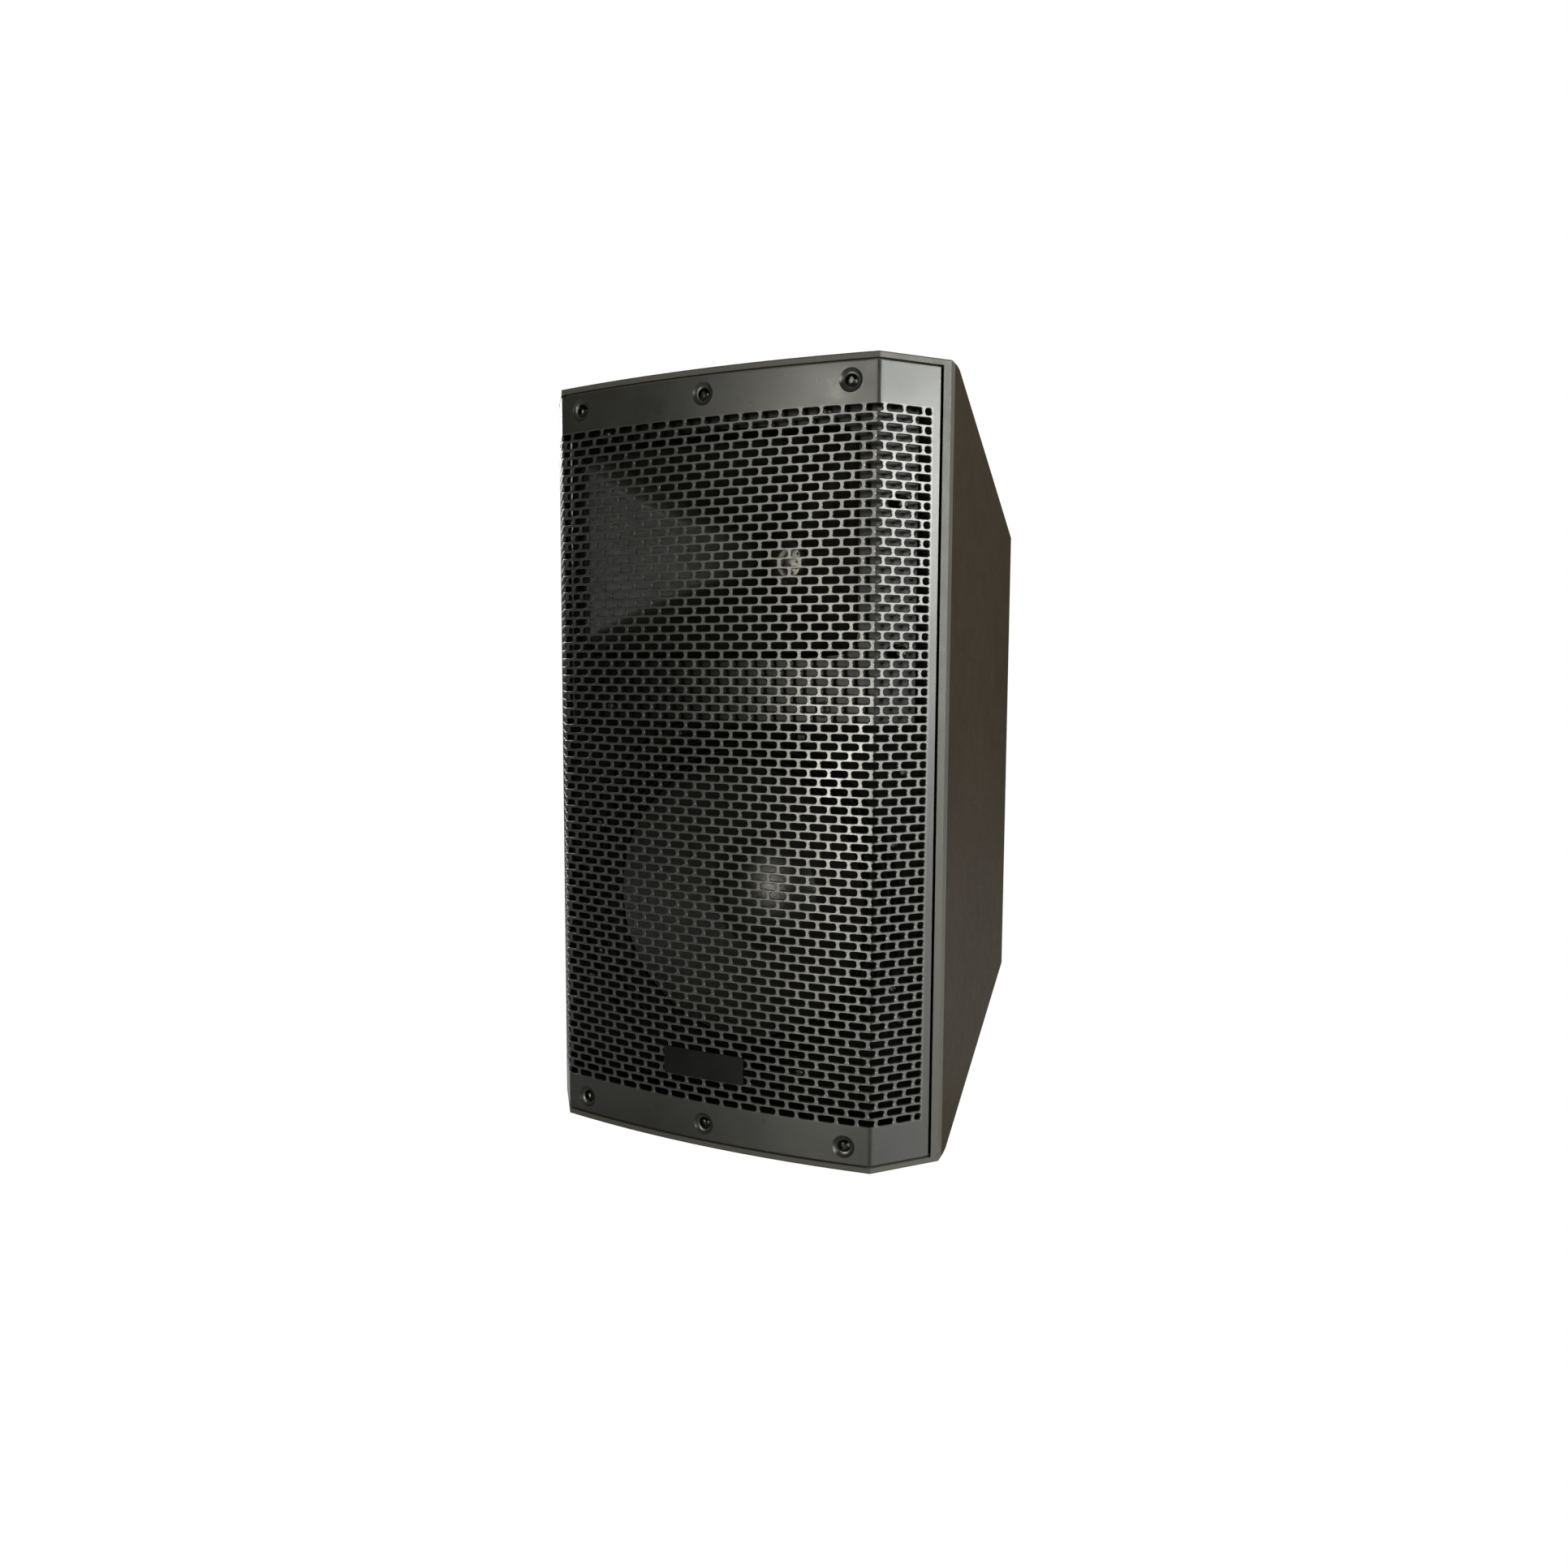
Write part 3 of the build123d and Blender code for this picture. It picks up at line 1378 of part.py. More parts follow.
def mains_inlet():
    """Three-pin appliance inlet with a slot for the fuse drawer under it."""
    x, z = inlet_place
    w, h, t = inlet_flange
    bw, bh, bd = inlet_body
    flange = block(x - w / 2, x + w / 2, panel_out, panel_out + t, z - h / 2, z + h / 2)
    flange = fillet(flange.edges().filter_by(Axis.Y), 3)
    part = flange + block(x - bw / 2, x + bw / 2, panel_out - bd, panel_out, z - bh / 2, z + bh / 2)
    corners = [(-12.2, -8), (12.2, -8), (12.2, 4), (8, 8.8), (-8, 8.8), (-12.2, 4)]
    mouth = make_face(Polyline(*corners, close=True))
    cavity = extrude(Plane.XZ * mouth, 22, both=True)
    part -= Pos(x, panel_out - 16 + 22, z + 7) * cavity
    dw, dh, dl = drawer_size
    low = z - drawer_drop
    slot_x, slot_z = dw / 2 + play, dh / 2 + play
    part -= block(x - slot_x, x + slot_x, panel_out - dl - 1, 400, low - slot_z, low + slot_z)
    for side in (1, -1):
        part -= rod(1.6 + fit_gap, 0, 400, x + side * (w / 2 - 5), z)
    return part


def inlet_screws():
    x, z = inlet_place
    one = screw(3.0, 1.8, 1.6, 9)
    reach, seat = inlet_flange[0] / 2 - 5, panel_out + inlet_flange[2]
    return [rear_at(x + side * reach, seat, z) * one for side in (1, -1)]


def inlet_pins():
    x, z = inlet_place
    floor = panel_out - 16
    pins = []
    for dx, dz in ((-7, 5.5), (0, 9.5), (7, 5.5)):
        pins.append(block(x + dx - 1, x + dx + 1, floor, floor + 13, z + dz - 2, z + dz + 2))
    return pins


def fuse_drawer():
    """Drawer with a lip to pull it by and a bed for the fuse."""
    x, z = inlet_place
    dw, dh, dl = drawer_size
    low = z - drawer_drop
    face = panel_out + inlet_flange[2]
    part = block(x - dw / 2, x + dw / 2, panel_out - dl, face + play, low - dh / 2, low + dh / 2)
    lip_x, lip_z = dw / 2 + 1.5, dh / 2 + 1
    part += block(x - lip_x, x + lip_x, face + play, face + play + 1.8, low - lip_z, low + lip_z)
    return part - block(x - 3, x + 3, panel_out - dl + 1, panel_out - 0.5 + 1, low - 2.7, low + dh)


def fuse():
    x, z = inlet_place
    low = z - drawer_drop
    return rod(2.5, panel_out - drawer_size[2] + 1.2, panel_out + 0.2, x, low - 0.2)


def status_lights():
    light = [rod(1.5, panel_in - 4, panel_out + 0.5, x, z) for x, z in light_places]
    return [fillet(one.edges().filter_by(GeomType.CIRCLE).group_by(Axis.Y)[-1], 0.7) for one in light]


def damping_pads():
    """Wadding on the two side walls."""
    front, rear = pad_front, pad_front + pad_length
    layer = side_zone(wall + 0.5, front, rear) - side_zone(wall + pad_thick, front - 1, rear + 1)
    return [one for one in prism(layer, -pad_height / 2, pad_height / 2).solids()]


# ---------------------------------------------------------------- write the nodes
os.makedirs("parts", exist_ok=True)

save("front_baffle", front_baffle())
save("rear_shell", rear_shell())
save("baffle_screws", *baffle_screws())
save("grille", grille())
save("grille_screws", *grille_screws())
save("badge_plate", badge_plate())
save("damping_pads", *damping_pads())

save("handle_cup", handle_cup())
save("handle_grip", handle_grip())
save("pole_socket", pole_socket())
save("fly_inserts", *fly_inserts())
save("rubber_feet", *rubber_feet())
save("cabinet_screws", *handle_screws(), *socket_screws(), *foot_screws())
save("port_tubes", *port_tubes())

save("woofer_frame", woofer_frame())
save("woofer_surround", woofer_surround())
save("woofer_cone", woofer_cone())
save("woofer_dust_cap", woofer_dust_cap())
save("woofer_spider", woofer_spider())
save("woofer_voice_coil", woofer_voice_coil())
save("woofer_top_plate", woofer_top_plate())
save("woofer_magnet", woofer_magnet())
save("woofer_back_plate", woofer_back_plate())
save("woofer_screws", *woofer_screws())
save("driver_gaskets", woofer_mount_gasket(), woofer_front_gasket(), horn_gasket())

save("horn_waveguide", horn_waveguide())
save("horn_screws", *horn_screws())
save("hf_yoke", hf_yoke())
save("hf_magnet", hf_magnet())
save("hf_phase_plug", hf_phase_plug())
save("hf_top_plate", hf_top_plate())
save("hf_diaphragm", hf_diaphragm())
save("hf_suspension", hf_suspension())
save("hf_cap", hf_cap())
save("hf_bolts", *hf_bolts())
save("driver_terminals", *woofer_terminals(), hf_terminals())
save("driver_leads", *woofer_leads(), *hf_leads())

save("amp_panel", amp_panel())
save("panel_screws", *panel_screws(), *jack_screws(), *inlet_screws())
save("heat_sink", heat_sink())
save("amp_cover", amp_cover())
save("circuit_board", circuit_board(), *board_posts())
save("mains_transformer", mains_transformer())
save("board_components", *reservoir_capacitors(), *power_transistors(), *lead_headers())
save("combo_jack_1", combo_jack("combo_jack_1"))
save("combo_jack_2", combo_jack("combo_jack_2"))
save("jack_latch_1", jack_latch("combo_jack_1"))
save("jack_latch_2", jack_latch("combo_jack_2"))
save("link_output", link_output())
save("connector_pins", *link_pins(), *inlet_pins())
save("control_bodies", *gain_pots(), *button_switches())
for number, place in enumerate(knob_places, 1):
    save(f"gain_knob_{number}", gain_knob(place), gain_shaft(place))
save("boost_button", push_button("boost_button"))
save("lift_button", push_button("lift_button"))
save("power_switch", power_switch())
save("power_rocker", power_rocker())
save("mains_inlet", mains_inlet())
save("fuse_drawer", fuse_drawer(), fuse())
save("status_lights", *status_lights())
print(len(written), "nodes")
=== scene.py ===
import json
import math

import bpy
import bmesh
from mathutils import Matrix, Vector


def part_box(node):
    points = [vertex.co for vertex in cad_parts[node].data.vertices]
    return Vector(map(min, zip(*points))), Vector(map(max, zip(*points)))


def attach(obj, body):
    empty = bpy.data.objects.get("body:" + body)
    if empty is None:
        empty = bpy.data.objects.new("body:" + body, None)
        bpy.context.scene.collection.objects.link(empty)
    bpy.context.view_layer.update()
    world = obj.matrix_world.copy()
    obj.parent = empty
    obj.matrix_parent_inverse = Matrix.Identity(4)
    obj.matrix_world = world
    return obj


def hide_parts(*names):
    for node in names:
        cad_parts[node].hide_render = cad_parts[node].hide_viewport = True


# A powered two-way loudspeaker cabinet: looks, stage, light and camera.
# Lengths are in metres, in the frame's axes; the front faces -Y.
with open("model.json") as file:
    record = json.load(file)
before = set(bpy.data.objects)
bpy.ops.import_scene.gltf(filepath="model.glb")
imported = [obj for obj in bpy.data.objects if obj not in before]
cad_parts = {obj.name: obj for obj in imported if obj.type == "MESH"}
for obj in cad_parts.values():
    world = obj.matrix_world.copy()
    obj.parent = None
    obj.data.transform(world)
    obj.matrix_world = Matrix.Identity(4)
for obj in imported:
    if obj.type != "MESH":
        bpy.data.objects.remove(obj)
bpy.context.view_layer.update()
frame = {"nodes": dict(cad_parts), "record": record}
mm = 0.001

apex_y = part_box("grille")[0][1]  # foremost point of the bowed grille
baffle_low, baffle_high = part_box("front_baffle")
middle_z = (baffle_low[2] + baffle_high[2]) / 2
panel_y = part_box("amp_panel")[1][1]  # outer face of the amplifier's panel

white = (1.0, 1.0, 1.0)
painted_shade_black = (0.0015, 0.0015, 0.0015)  # painted shade: black put on surfaces behind the slots, where shade falls


# ---------------------------------------------------------------- materials
class Nodes:
    """Short names for the nodes that the materials share."""

    def __init__(self, name):
        self.material = bpy.data.materials.new(name)
        self.material.use_nodes = True
        self.tree = self.material.node_tree
        self.shader = self.tree.nodes["Principled BSDF"]
        self.place = self.tree.nodes.new("ShaderNodeTexCoord").outputs["Object"]
        self.normal = None

    def add(self, kind, **values):
        node = self.tree.nodes.new(kind)
        for key, value in values.items():
            setattr(node, key, value)
        return node

    def link(self, start, end):
        self.tree.links.new(start, end)

    def stretched(self, scale):
        """Object coordinates, stretched along the axes."""
        mapping = self.add("ShaderNodeMapping")
        mapping.inputs["Scale"].default_value = scale
        self.link(self.place, mapping.inputs["Vector"])
        return mapping.outputs["Vector"]

    def noise(self, scale, detail=3.0, rough=0.55, place=None):
        node = self.add("ShaderNodeTexNoise")
        node.inputs["Scale"].default_value = scale
        node.inputs["Detail"].default_value = detail
        node.inputs["Roughness"].default_value = rough
        self.link(place or self.place, node.inputs["Vector"])
        return node.outputs["Fac"]

    def ramp(self, source, stops, curve="LINEAR"):
        node = self.add("ShaderNodeValToRGB")
        node.color_ramp.interpolation = curve
        points = node.color_ramp.elements
        for k, (place, colour) in enumerate(stops):
            point = points[k] if k < 2 else points.new(place)
            point.position = place
            point.color = (*colour, 1.0)
        self.link(source, node.inputs["Fac"])
        return node.outputs["Color"]

    def spread(self, source, low, high):
        """A value from 0 to 1 mapped to low and high."""
        node = self.add("ShaderNodeMapRange")
        node.inputs["From Min"].default_value = 0.3
        node.inputs["From Max"].default_value = 0.7
        node.inputs["To Min"].default_value = low
        node.inputs["To Max"].default_value = high
        self.link(source, node.inputs["Value"])
        return node.outputs["Result"]

    def between(self, low, high):
        """1 where a point lies between two corners, 0 outside; None leaves a side open."""
        split = self.add("ShaderNodeSeparateXYZ")
        self.link(self.place, split.inputs[0])
        mask = None
        for kind, corner in (("GREATER_THAN", low), ("LESS_THAN", high)):
            for value, limit in zip(split.outputs, corner):
                if limit is not None:
                    test = self.add("ShaderNodeMath", operation=kind)
                    self.link(value, test.inputs[0])
                    test.inputs[1].default_value = limit
                    mask = self.product(mask, test.outputs[0]) if mask else test.outputs[0]
        return mask

    def product(self, first, second):
        node = self.add("ShaderNodeMath", operation="MULTIPLY")
        self.link(first, node.inputs[0])
        self.link(second, node.inputs[1])
        return node.outputs[0]

    def blend(self, mask, outside, inside):
        """Two colours, chosen by a mask."""
        node = self.add("ShaderNodeMix", data_type="RGBA")
        self.link(mask, node.inputs["Factor"])
        sockets = [socket for socket in node.inputs if socket.type == "RGBA"]
        for socket, value in zip(sockets, (outside, inside)):
            if isinstance(value, tuple):
                socket.default_value = (*value, 1.0)
            else:
                self.link(value, socket)
        return next(socket for socket in node.outputs if socket.type == "RGBA")

    def tint(self, mask, outside, inside):
        """Highlights left as they are or weakened, chosen by a mask; the weakened highlights go
        with painted shade.
        """
        blend = self.blend(mask, shade(white, outside), shade(white, inside))
        self.link(blend, self.shader.inputs["Specular Tint"])

    def bump(self, height, distance, strength=1.0):
        node = self.add("ShaderNodeBump")
        node.inputs["Strength"].default_value = strength
        node.inputs["Distance"].default_value = distance
        self.link(height, node.inputs["Height"])
        if self.normal:
            self.link(self.normal, node.inputs["Normal"])
        self.normal = node.outputs["Normal"]
        self.link(self.normal, self.shader.inputs["Normal"])

    def colour(self, source):
        self.link(source, self.shader.inputs["Base Color"])

    def rough(self, source):
        self.link(source, self.shader.inputs["Roughness"])


def shade(colour, factor):
    return tuple(min(1.0, c * factor) for c in colour)


def coated(name, colour, rough, grain, depth, mottle=0.12, level=0.5, coat=0.0, bright=None):
    """Paint or moulded plastic: fine grain, faint cloudy colour, uneven gloss.

    Given a box by two corners, all outside that box is painted shade: matt black, with weakened
    highlights.
    """
    n = Nodes(name)
    n.shader.inputs["Specular IOR Level"].default_value = level
    n.shader.inputs["Coat Weight"].default_value = coat
    cloud = n.noise(14.0, 4.0)
    tone = n.ramp(cloud, [(0.3, shade(colour, 1 - mottle)), (0.7, shade(colour, 1 + mottle))])
    # painted shade: matt black and weakened highlights outside the box
    if bright:
        zone = n.between(*bright)
        tone = n.blend(zone, painted_shade_black, tone)
        n.tint(zone, 0.3, 1.0)
    n.colour(tone)
    n.rough(n.spread(n.noise(45.0, 5.0), rough - 0.05, rough + 0.05))
    n.bump(n.noise(grain, 2.0), depth)
    return n.material


def leathery(name, colour, rough, cell, depth, level=0.5, shade_box=None):
    """Textured moulding: small raised cells with a fine grain on them.

    Given a box by two corners, all inside that box is painted shade: matt black, with weakened
    highlights.
    """
    n = Nodes(name)
    n.shader.inputs["Specular IOR Level"].default_value = level
    cloud = n.noise(9.0, 4.0)
    tone = n.ramp(cloud, [(0.25, shade(colour, 0.86)), (0.75, shade(colour, 1.14))])
    # painted shade: matt black and weakened highlights inside the box
    if shade_box:
        zone = n.between(*shade_box)
        tone = n.blend(zone, tone, painted_shade_black)
        n.tint(zone, 1.0, 0.12)
    n.colour(tone)
    n.rough(n.spread(n.noise(60.0, 4.0), rough - 0.04, rough + 0.05))
    cells = n.add("ShaderNodeTexVoronoi", feature="SMOOTH_F1")
    cells.inputs["Scale"].default_value = cell
    cells.inputs["Smoothness"].default_value = 0.6
    n.link(n.place, cells.inputs["Vector"])
    n.bump(cells.outputs["Distance"], depth)
    n.bump(n.noise(cell * 2.2, 2.0), depth * 0.5)
    return n.material


def metal(name, colour, rough, brush=(1.0, 1.0, 1.0), scale=400.0, depth=0.00001):
    """Bare or plated metal, brushed when brush stretches its grain."""
    n = Nodes(name)
    n.shader.inputs["Metallic"].default_value = 1.0
    place = n.stretched(brush)
    grain = n.noise(scale, 4.0, 0.6, place)
    n.colour(n.ramp(n.noise(20.0, 4.0), [(0.3, shade(colour, 0.88)), (0.7, colour)]))
    n.rough(n.spread(grain, rough - 0.06, rough + 0.08))
    n.bump(grain, depth)
    return n.material


def woven(name, colour, rough, pitch, depth, level=0.5):
    """Cloth: crossed threads at a pitch, in metres."""
    n = Nodes(name)
    n.shader.inputs["Specular IOR Level"].default_value = level
    heights = []
    for axis in ("X", "Z"):
        wave = n.add("ShaderNodeTexWave", wave_type="BANDS", bands_direction=axis)
        wave.inputs["Scale"].default_value = 0.314 / pitch
        wave.inputs["Distortion"].default_value = 0.4
        n.link(n.place, wave.inputs["Vector"])
        heights.append(wave.outputs["Fac"])
    cross = n.product(*heights)
    n.colour(n.ramp(cross, [(0.0, shade(colour, 0.7)), (1.0, shade(colour, 1.2))]))
    n.shader.inputs["Roughness"].default_value = rough
    n.bump(cross, depth)
    return n.material


def pressed_paper(name, colour, rough, level):
    """Cone pulp: fibres in all directions."""
    n = Nodes(name)
    n.shader.inputs["Specular IOR Level"].default_value = level
    fibres = n.noise(700.0, 6.0, 0.7)
    n.colour(n.ramp(fibres, [(0.3, shade(colour, 0.75)), (0.7, shade(colour, 1.3))]))
    n.rough(n.spread(n.noise(90.0, 4.0), rough - 0.06, rough + 0.06))
    n.bump(fibres, 0.00012)
    n.bump(n.noise(120.0, 3.0), 0.0002, 0.5)
    return n.material


def lens(name, colour):
    """The clear coloured top of a status light."""
    n = Nodes(name)
    n.colour(n.ramp(n.noise(300.0), [(0.2, shade(colour, 0.8)), (0.8, colour)]))
    n.shader.inputs["Roughness"].default_value = 0.15
    n.shader.inputs["Transmission Weight"].default_value = 0.4
    n.bump(n.noise(900.0), 0.00002)
    return n.material


def wound(name, colour):
    """Enamelled wire, laid turn by turn."""
    n = Nodes(name)
    wave = n.add("ShaderNodeTexWave", wave_type="BANDS", bands_direction="Y")
    wave.inputs["Scale"].default_value = 600.0
    n.link(n.place, wave.inputs["Vector"])
    n.colour(n.ramp(wave.outputs["Fac"], [(0.0, shade(colour, 0.5)), (0.6, colour)]))
    n.shader.inputs["Metallic"].default_value = 0.8
    n.shader.inputs["Roughness"].default_value = 0.35
    n.bump(wave.outputs["Fac"], 0.0002)
    return n.material


grille_paint = coated("grille_powder", (0.018, 0.018, 0.017), 0.31, 1500.0, 0.00004, 0.10)
# painted highlight: a brighter, glossier copy of the grille's paint for the webs between the slots
web_highlight_paint = coated(
    "grille_powder_webs_highlight", (0.022, 0.022, 0.021), 0.31, 1500.0, 0.00004, 0.10, level=0.70
)
rim_inside = 0.1695, 0.2940  # half the width and height of the rim's inner edge
horn_half = 0.125  # half the width of the horn's mouth; the panel round it gets painted shade, matt black
horn_start = apex_y + 0.020
finishes = {
    "moulding": leathery("moulding", (0.0185, 0.0138, 0.0088), 0.50, 1100.0, 0.00012, level=0.14),
    "grille_powder": grille_paint,
    "black_steel": metal("black_steel", (0.05, 0.05, 0.05), 0.34, scale=900.0),
    "badge": coated("badge", (0.002, 0.002, 0.002), 0.30, 2200.0, 0.000004, 0.08, level=0.2),
    "wadding": coated("wadding", (0.20, 0.20, 0.19), 0.95, 320.0, 0.0012, 0.30),
    "black_plastic": coated("black_plastic", (0.012, 0.012, 0.012), 0.42, 1300.0, 0.00006, 0.10),
    "zinc_steel": metal("zinc_steel", (0.60, 0.61, 0.60), 0.32, scale=160.0),
    "rubber": coated("rubber", (0.020, 0.020, 0.020), 0.75, 800.0, 0.00010, 0.15),
    "cast_aluminium": coated(
        "cast_aluminium", (0.002, 0.002, 0.002), 0.55, 500.0, 0.00022, 0.15, level=0.05
    ),
    "surround_cloth": woven("surround_cloth", (0.002, 0.002, 0.002), 0.55, 0.0007, 0.00012, 0.08),
    "cone_paper": pressed_paper("cone_paper", (0.0050, 0.0049, 0.0046), 0.46, 0.30),
    "spider_cloth": woven("spider_cloth", (0.50, 0.33, 0.12), 0.80, 0.0009, 0.00015),
    "coil_wire": wound("coil_wire", (0.62, 0.28, 0.12)),
    "ferrite": coated("ferrite", (0.05, 0.05, 0.055), 0.60, 900.0, 0.00008, 0.20),
    "gasket_foam": coated(
        "gasket_foam", (0.002, 0.002, 0.002), 0.90, 1400.0, 0.00030, 0.20, level=0.05
    ),
    "horn_plastic": coated(
        "horn_plastic", (0.007, 0.0069, 0.0060), 0.36, 1200.0, 0.00007, 0.10, level=0.4,
        # painted shade: outside the horn's mouth the panel behind the grille is painted matt black
        # with weakened highlights
        bright=((-horn_half, horn_start, None), (horn_half, None, None)),
    ),
    "titanium": metal("titanium", (0.58, 0.57, 0.60), 0.25, scale=200.0),
    "terminal_plastic": coated("terminal_plastic", (0.35, 0.02, 0.015), 0.30, 900.0, 0.00003),
    "lead_insulation": coated("lead_insulation", (0.30, 0.015, 0.012), 0.38, 700.0, 0.00003),
    "panel_powder": coated("panel_powder", (0.024, 0.024, 0.025), 0.45, 1500.0, 0.00007, 0.10),
    "anodised_aluminium": metal(
        "anodised_aluminium", (0.035, 0.035, 0.038), 0.38, (1.0, 1.0, 0.03)
    ),
    "board_laminate": coated(
        "board_laminate", (0.012, 0.10, 0.035), 0.30, 240.0, 0.00008, 0.20, coat=0.3
    ),
    "component_case": coated("component_case", (0.03, 0.03, 0.045), 0.28, 600.0, 0.00003, coat=0.2),
    "connector_plastic": coated(
        "connector_plastic", (0.020, 0.020, 0.021), 0.34, 1500.0, 0.00004, 0.10
    ),
    "contact_brass": metal("contact_brass", (0.75, 0.62, 0.38), 0.22, scale=300.0),
    "knob_plastic": coated("knob_plastic", (0.026, 0.026, 0.028), 0.36, 1600.0, 0.00005, 0.10),
    "light_lens": lens("light_lens", (0.10, 0.55, 0.18)),
}
own_finishes = {  # nodes whose finish differs from their slot's
    "front_baffle": leathery(
        "rim_moulding", (0.048, 0.046, 0.040), 0.52, 1100.0, 0.00008, level=0.35,
        # painted shade: inside the rim, behind the grille, the moulding is painted matt black with
        # weakened highlights
        shade_box=(
            (-rim_inside[0], None, middle_z - rim_inside[1]),
            (rim_inside[0], None, middle_z + rim_inside[1]),
        ),
    ),
    "woofer_dust_cap": pressed_paper("dust_cap_paper", (0.006, 0.0058, 0.0052), 0.30, 0.42),
    "hf_phase_plug": coated("phase_plug_grey", (0.78, 0.76, 0.68), 0.40, 900.0, 0.00004),
    "grille_screws": metal("black_screw", (0.030, 0.030, 0.030), 0.24, scale=900.0),
}
for entry in frame["record"]["subparts"]:
    finish = own_finishes.get(entry["node"], finishes[entry["material_slot"]])
    cad_node = frame["nodes"][entry["node"]]
    cad_node.data.materials.clear()
    cad_node.data.materials.append(finish)


# ---------------------------------------------------------------- mesh helpers
def smooth(mesh, sharp):
    """Smooth shading, with edges above an angle in degrees kept sharp."""
    mesh.polygons.foreach_set("use_smooth", [True] * len(mesh.polygons))
    mesh.set_sharp_from_angle(angle=math.radians(sharp))


def faces_outward(work, mesh):
    """Turn the faces of the working mesh outward and store it."""
    bmesh.ops.recalc_face_normals(work, faces=work.faces)
    work.to_mesh(mesh)
    work.free()


def link(thing):
    bpy.context.scene.collection.objects.link(thing)


def mount(piece):
    """Put a piece in the scene; it rides on the cabinet."""
    link(piece)
    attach(piece, "cabinet")


# ---------------------------------------------------------------- slotted grille
# A run is a place along the flat sheet, from its middle; deep goes back from its front face.
bow_radius = 0.860
bend_x = 0.1377
bend_run = bow_radius * math.asin(bend_x / bow_radius)
wing_angle = math.radians(51.0)
wing_width = 0.0503
sheet_half = bend_run + wing_width
sheet_thick = 1.5 * mm
half_tall = (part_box("grille")[1][2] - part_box("grille")[0][2]) / 2

half_pitch = 7.95 * mm
half_row = 3.352 * mm
slot_rows = 79
slot_columns = 23  # in half pitches, from the middle to the last slot's outer end
slotted_run = slot_columns * half_pitch
slotted_rise = slot_rows * half_row
slot_length = 13.4 * mm
slot_height = 4.9 * mm
slot_corner = 2.0 * mm
end_slot_length = 5.5 * mm
slot_bevel = 0.45 * mm

seat_radius = 8.7 * mm
seat_floor = 4.9 * mm  # radius of the flat bottom
seat_depth = 2.5 * mm
seat_hole = 2.7 * mm
seat_rings = [seat_radius + 0.8 * mm, seat_radius, 7.95 * mm, 7.2 * mm, 6.45 * mm, 5.7 * mm]
seat_rings += [seat_floor, 3.8 * mm, seat_hole]
seat_sides = 36
seat_reach = 2  # half pitches of the plain strip on each side of a seat
seat_spread = 0.117
seat_rise = half_tall - 12.4 * mm
seat_runs = [bow_radius * math.asin(x / bow_radius) for x in (-seat_spread, 0.0, seat_spread)]

fold_radius = 4.0 * mm
fold_cuts = 6
fold_reach = fold_radius * math.tan((wing_angle - bend_run / bow_radius) / 2)
fold_start = bend_run - fold_reach
fold_end = bend_run + fold_reach


def on_sheet(run, deep, up):
    """A point of the flat sheet, laid on the bowed and folded one with its dished seats."""
    for seat in seat_runs:
        away = math.hypot(run - seat, abs(up) - seat_rise)
        if away < seat_radius:
            share = min(1.0, (seat_radius - away) / (seat_radius - seat_floor))
            deep += seat_depth * (2 - share) * share
    side = math.copysign(1.0, run)
    along = abs(run)
    turn = min(along, fold_start) / bow_radius
    x = bow_radius * math.sin(turn)
    y = bow_radius * (1 - math.cos(turn))
    if along > fold_start:
        share = min(1.0, (along - fold_start) / (fold_end - fold_start))
        before = turn
        turn += (wing_angle - turn) * share
        x += fold_radius * (math.sin(turn) - math.sin(before))
        y += fold_radius * (math.cos(before) - math.cos(turn))
    if along > fold_end:
        x += (along - fold_end) * math.cos(turn)
        y += (along - fold_end) * math.sin(turn)
    x -= deep * math.sin(turn)
    y += deep * math.cos(turn)
    return Vector((side * x, apex_y + y, middle_z + up))


class Sheet:
    """Points and faces of the flat sheet; border points are shared between cells."""

    def __init__(self):
        self.points = []
        self.faces = []
        self.shared = {}

    def point(self, run, deep, up):
        """A new point's number."""
        self.points.append((run, deep, up))
        return len(self.points) - 1

    def border(self, run, up, back):
        """A shared point's number, on the front or the back face."""
        key = (round(run * 1e6), round(up * 1e6), back)
        if key not in self.shared:
            self.shared[key] = self.point(run, sheet_thick if back else 0.0, up)
        return self.shared[key]

    def borders(self, corners, back):
        return [self.border(run, up, back) for run, up in corners]

    def face(self, corners, flip):
        self.faces.append(tuple(reversed(corners)) if flip else tuple(corners))


def slot_outline(run, up, length, height, corner):
    """Sixteen points round a slot with rounded corners, clockwise from its upper left."""
    reach, rise = length / 2 - corner, height / 2 - corner
    turns = [math.radians(60), math.radians(30)]
    right = [(reach + corner * math.cos(a), rise + corner * math.sin(a)) for a in turns]
    right += [(length / 2, 0.0)] + [(x, -z) for x, z in reversed(right)]
    left = [(-x, z) for x, z in reversed(right)]
    top = [(-reach, height / 2), (0.0, height / 2), (reach, height / 2)]
    low = [(x, -z) for x, z in reversed(top)]
    return [(run + x, up + z) for x, z in top + right + low + left]


def join_rings(sheet, near, far, flip):
    """Faces between two rings with as many points."""
    for k in range(len(near)):
        sheet.face([near[k - 1], near[k], far[k], far[k - 1]], flip)


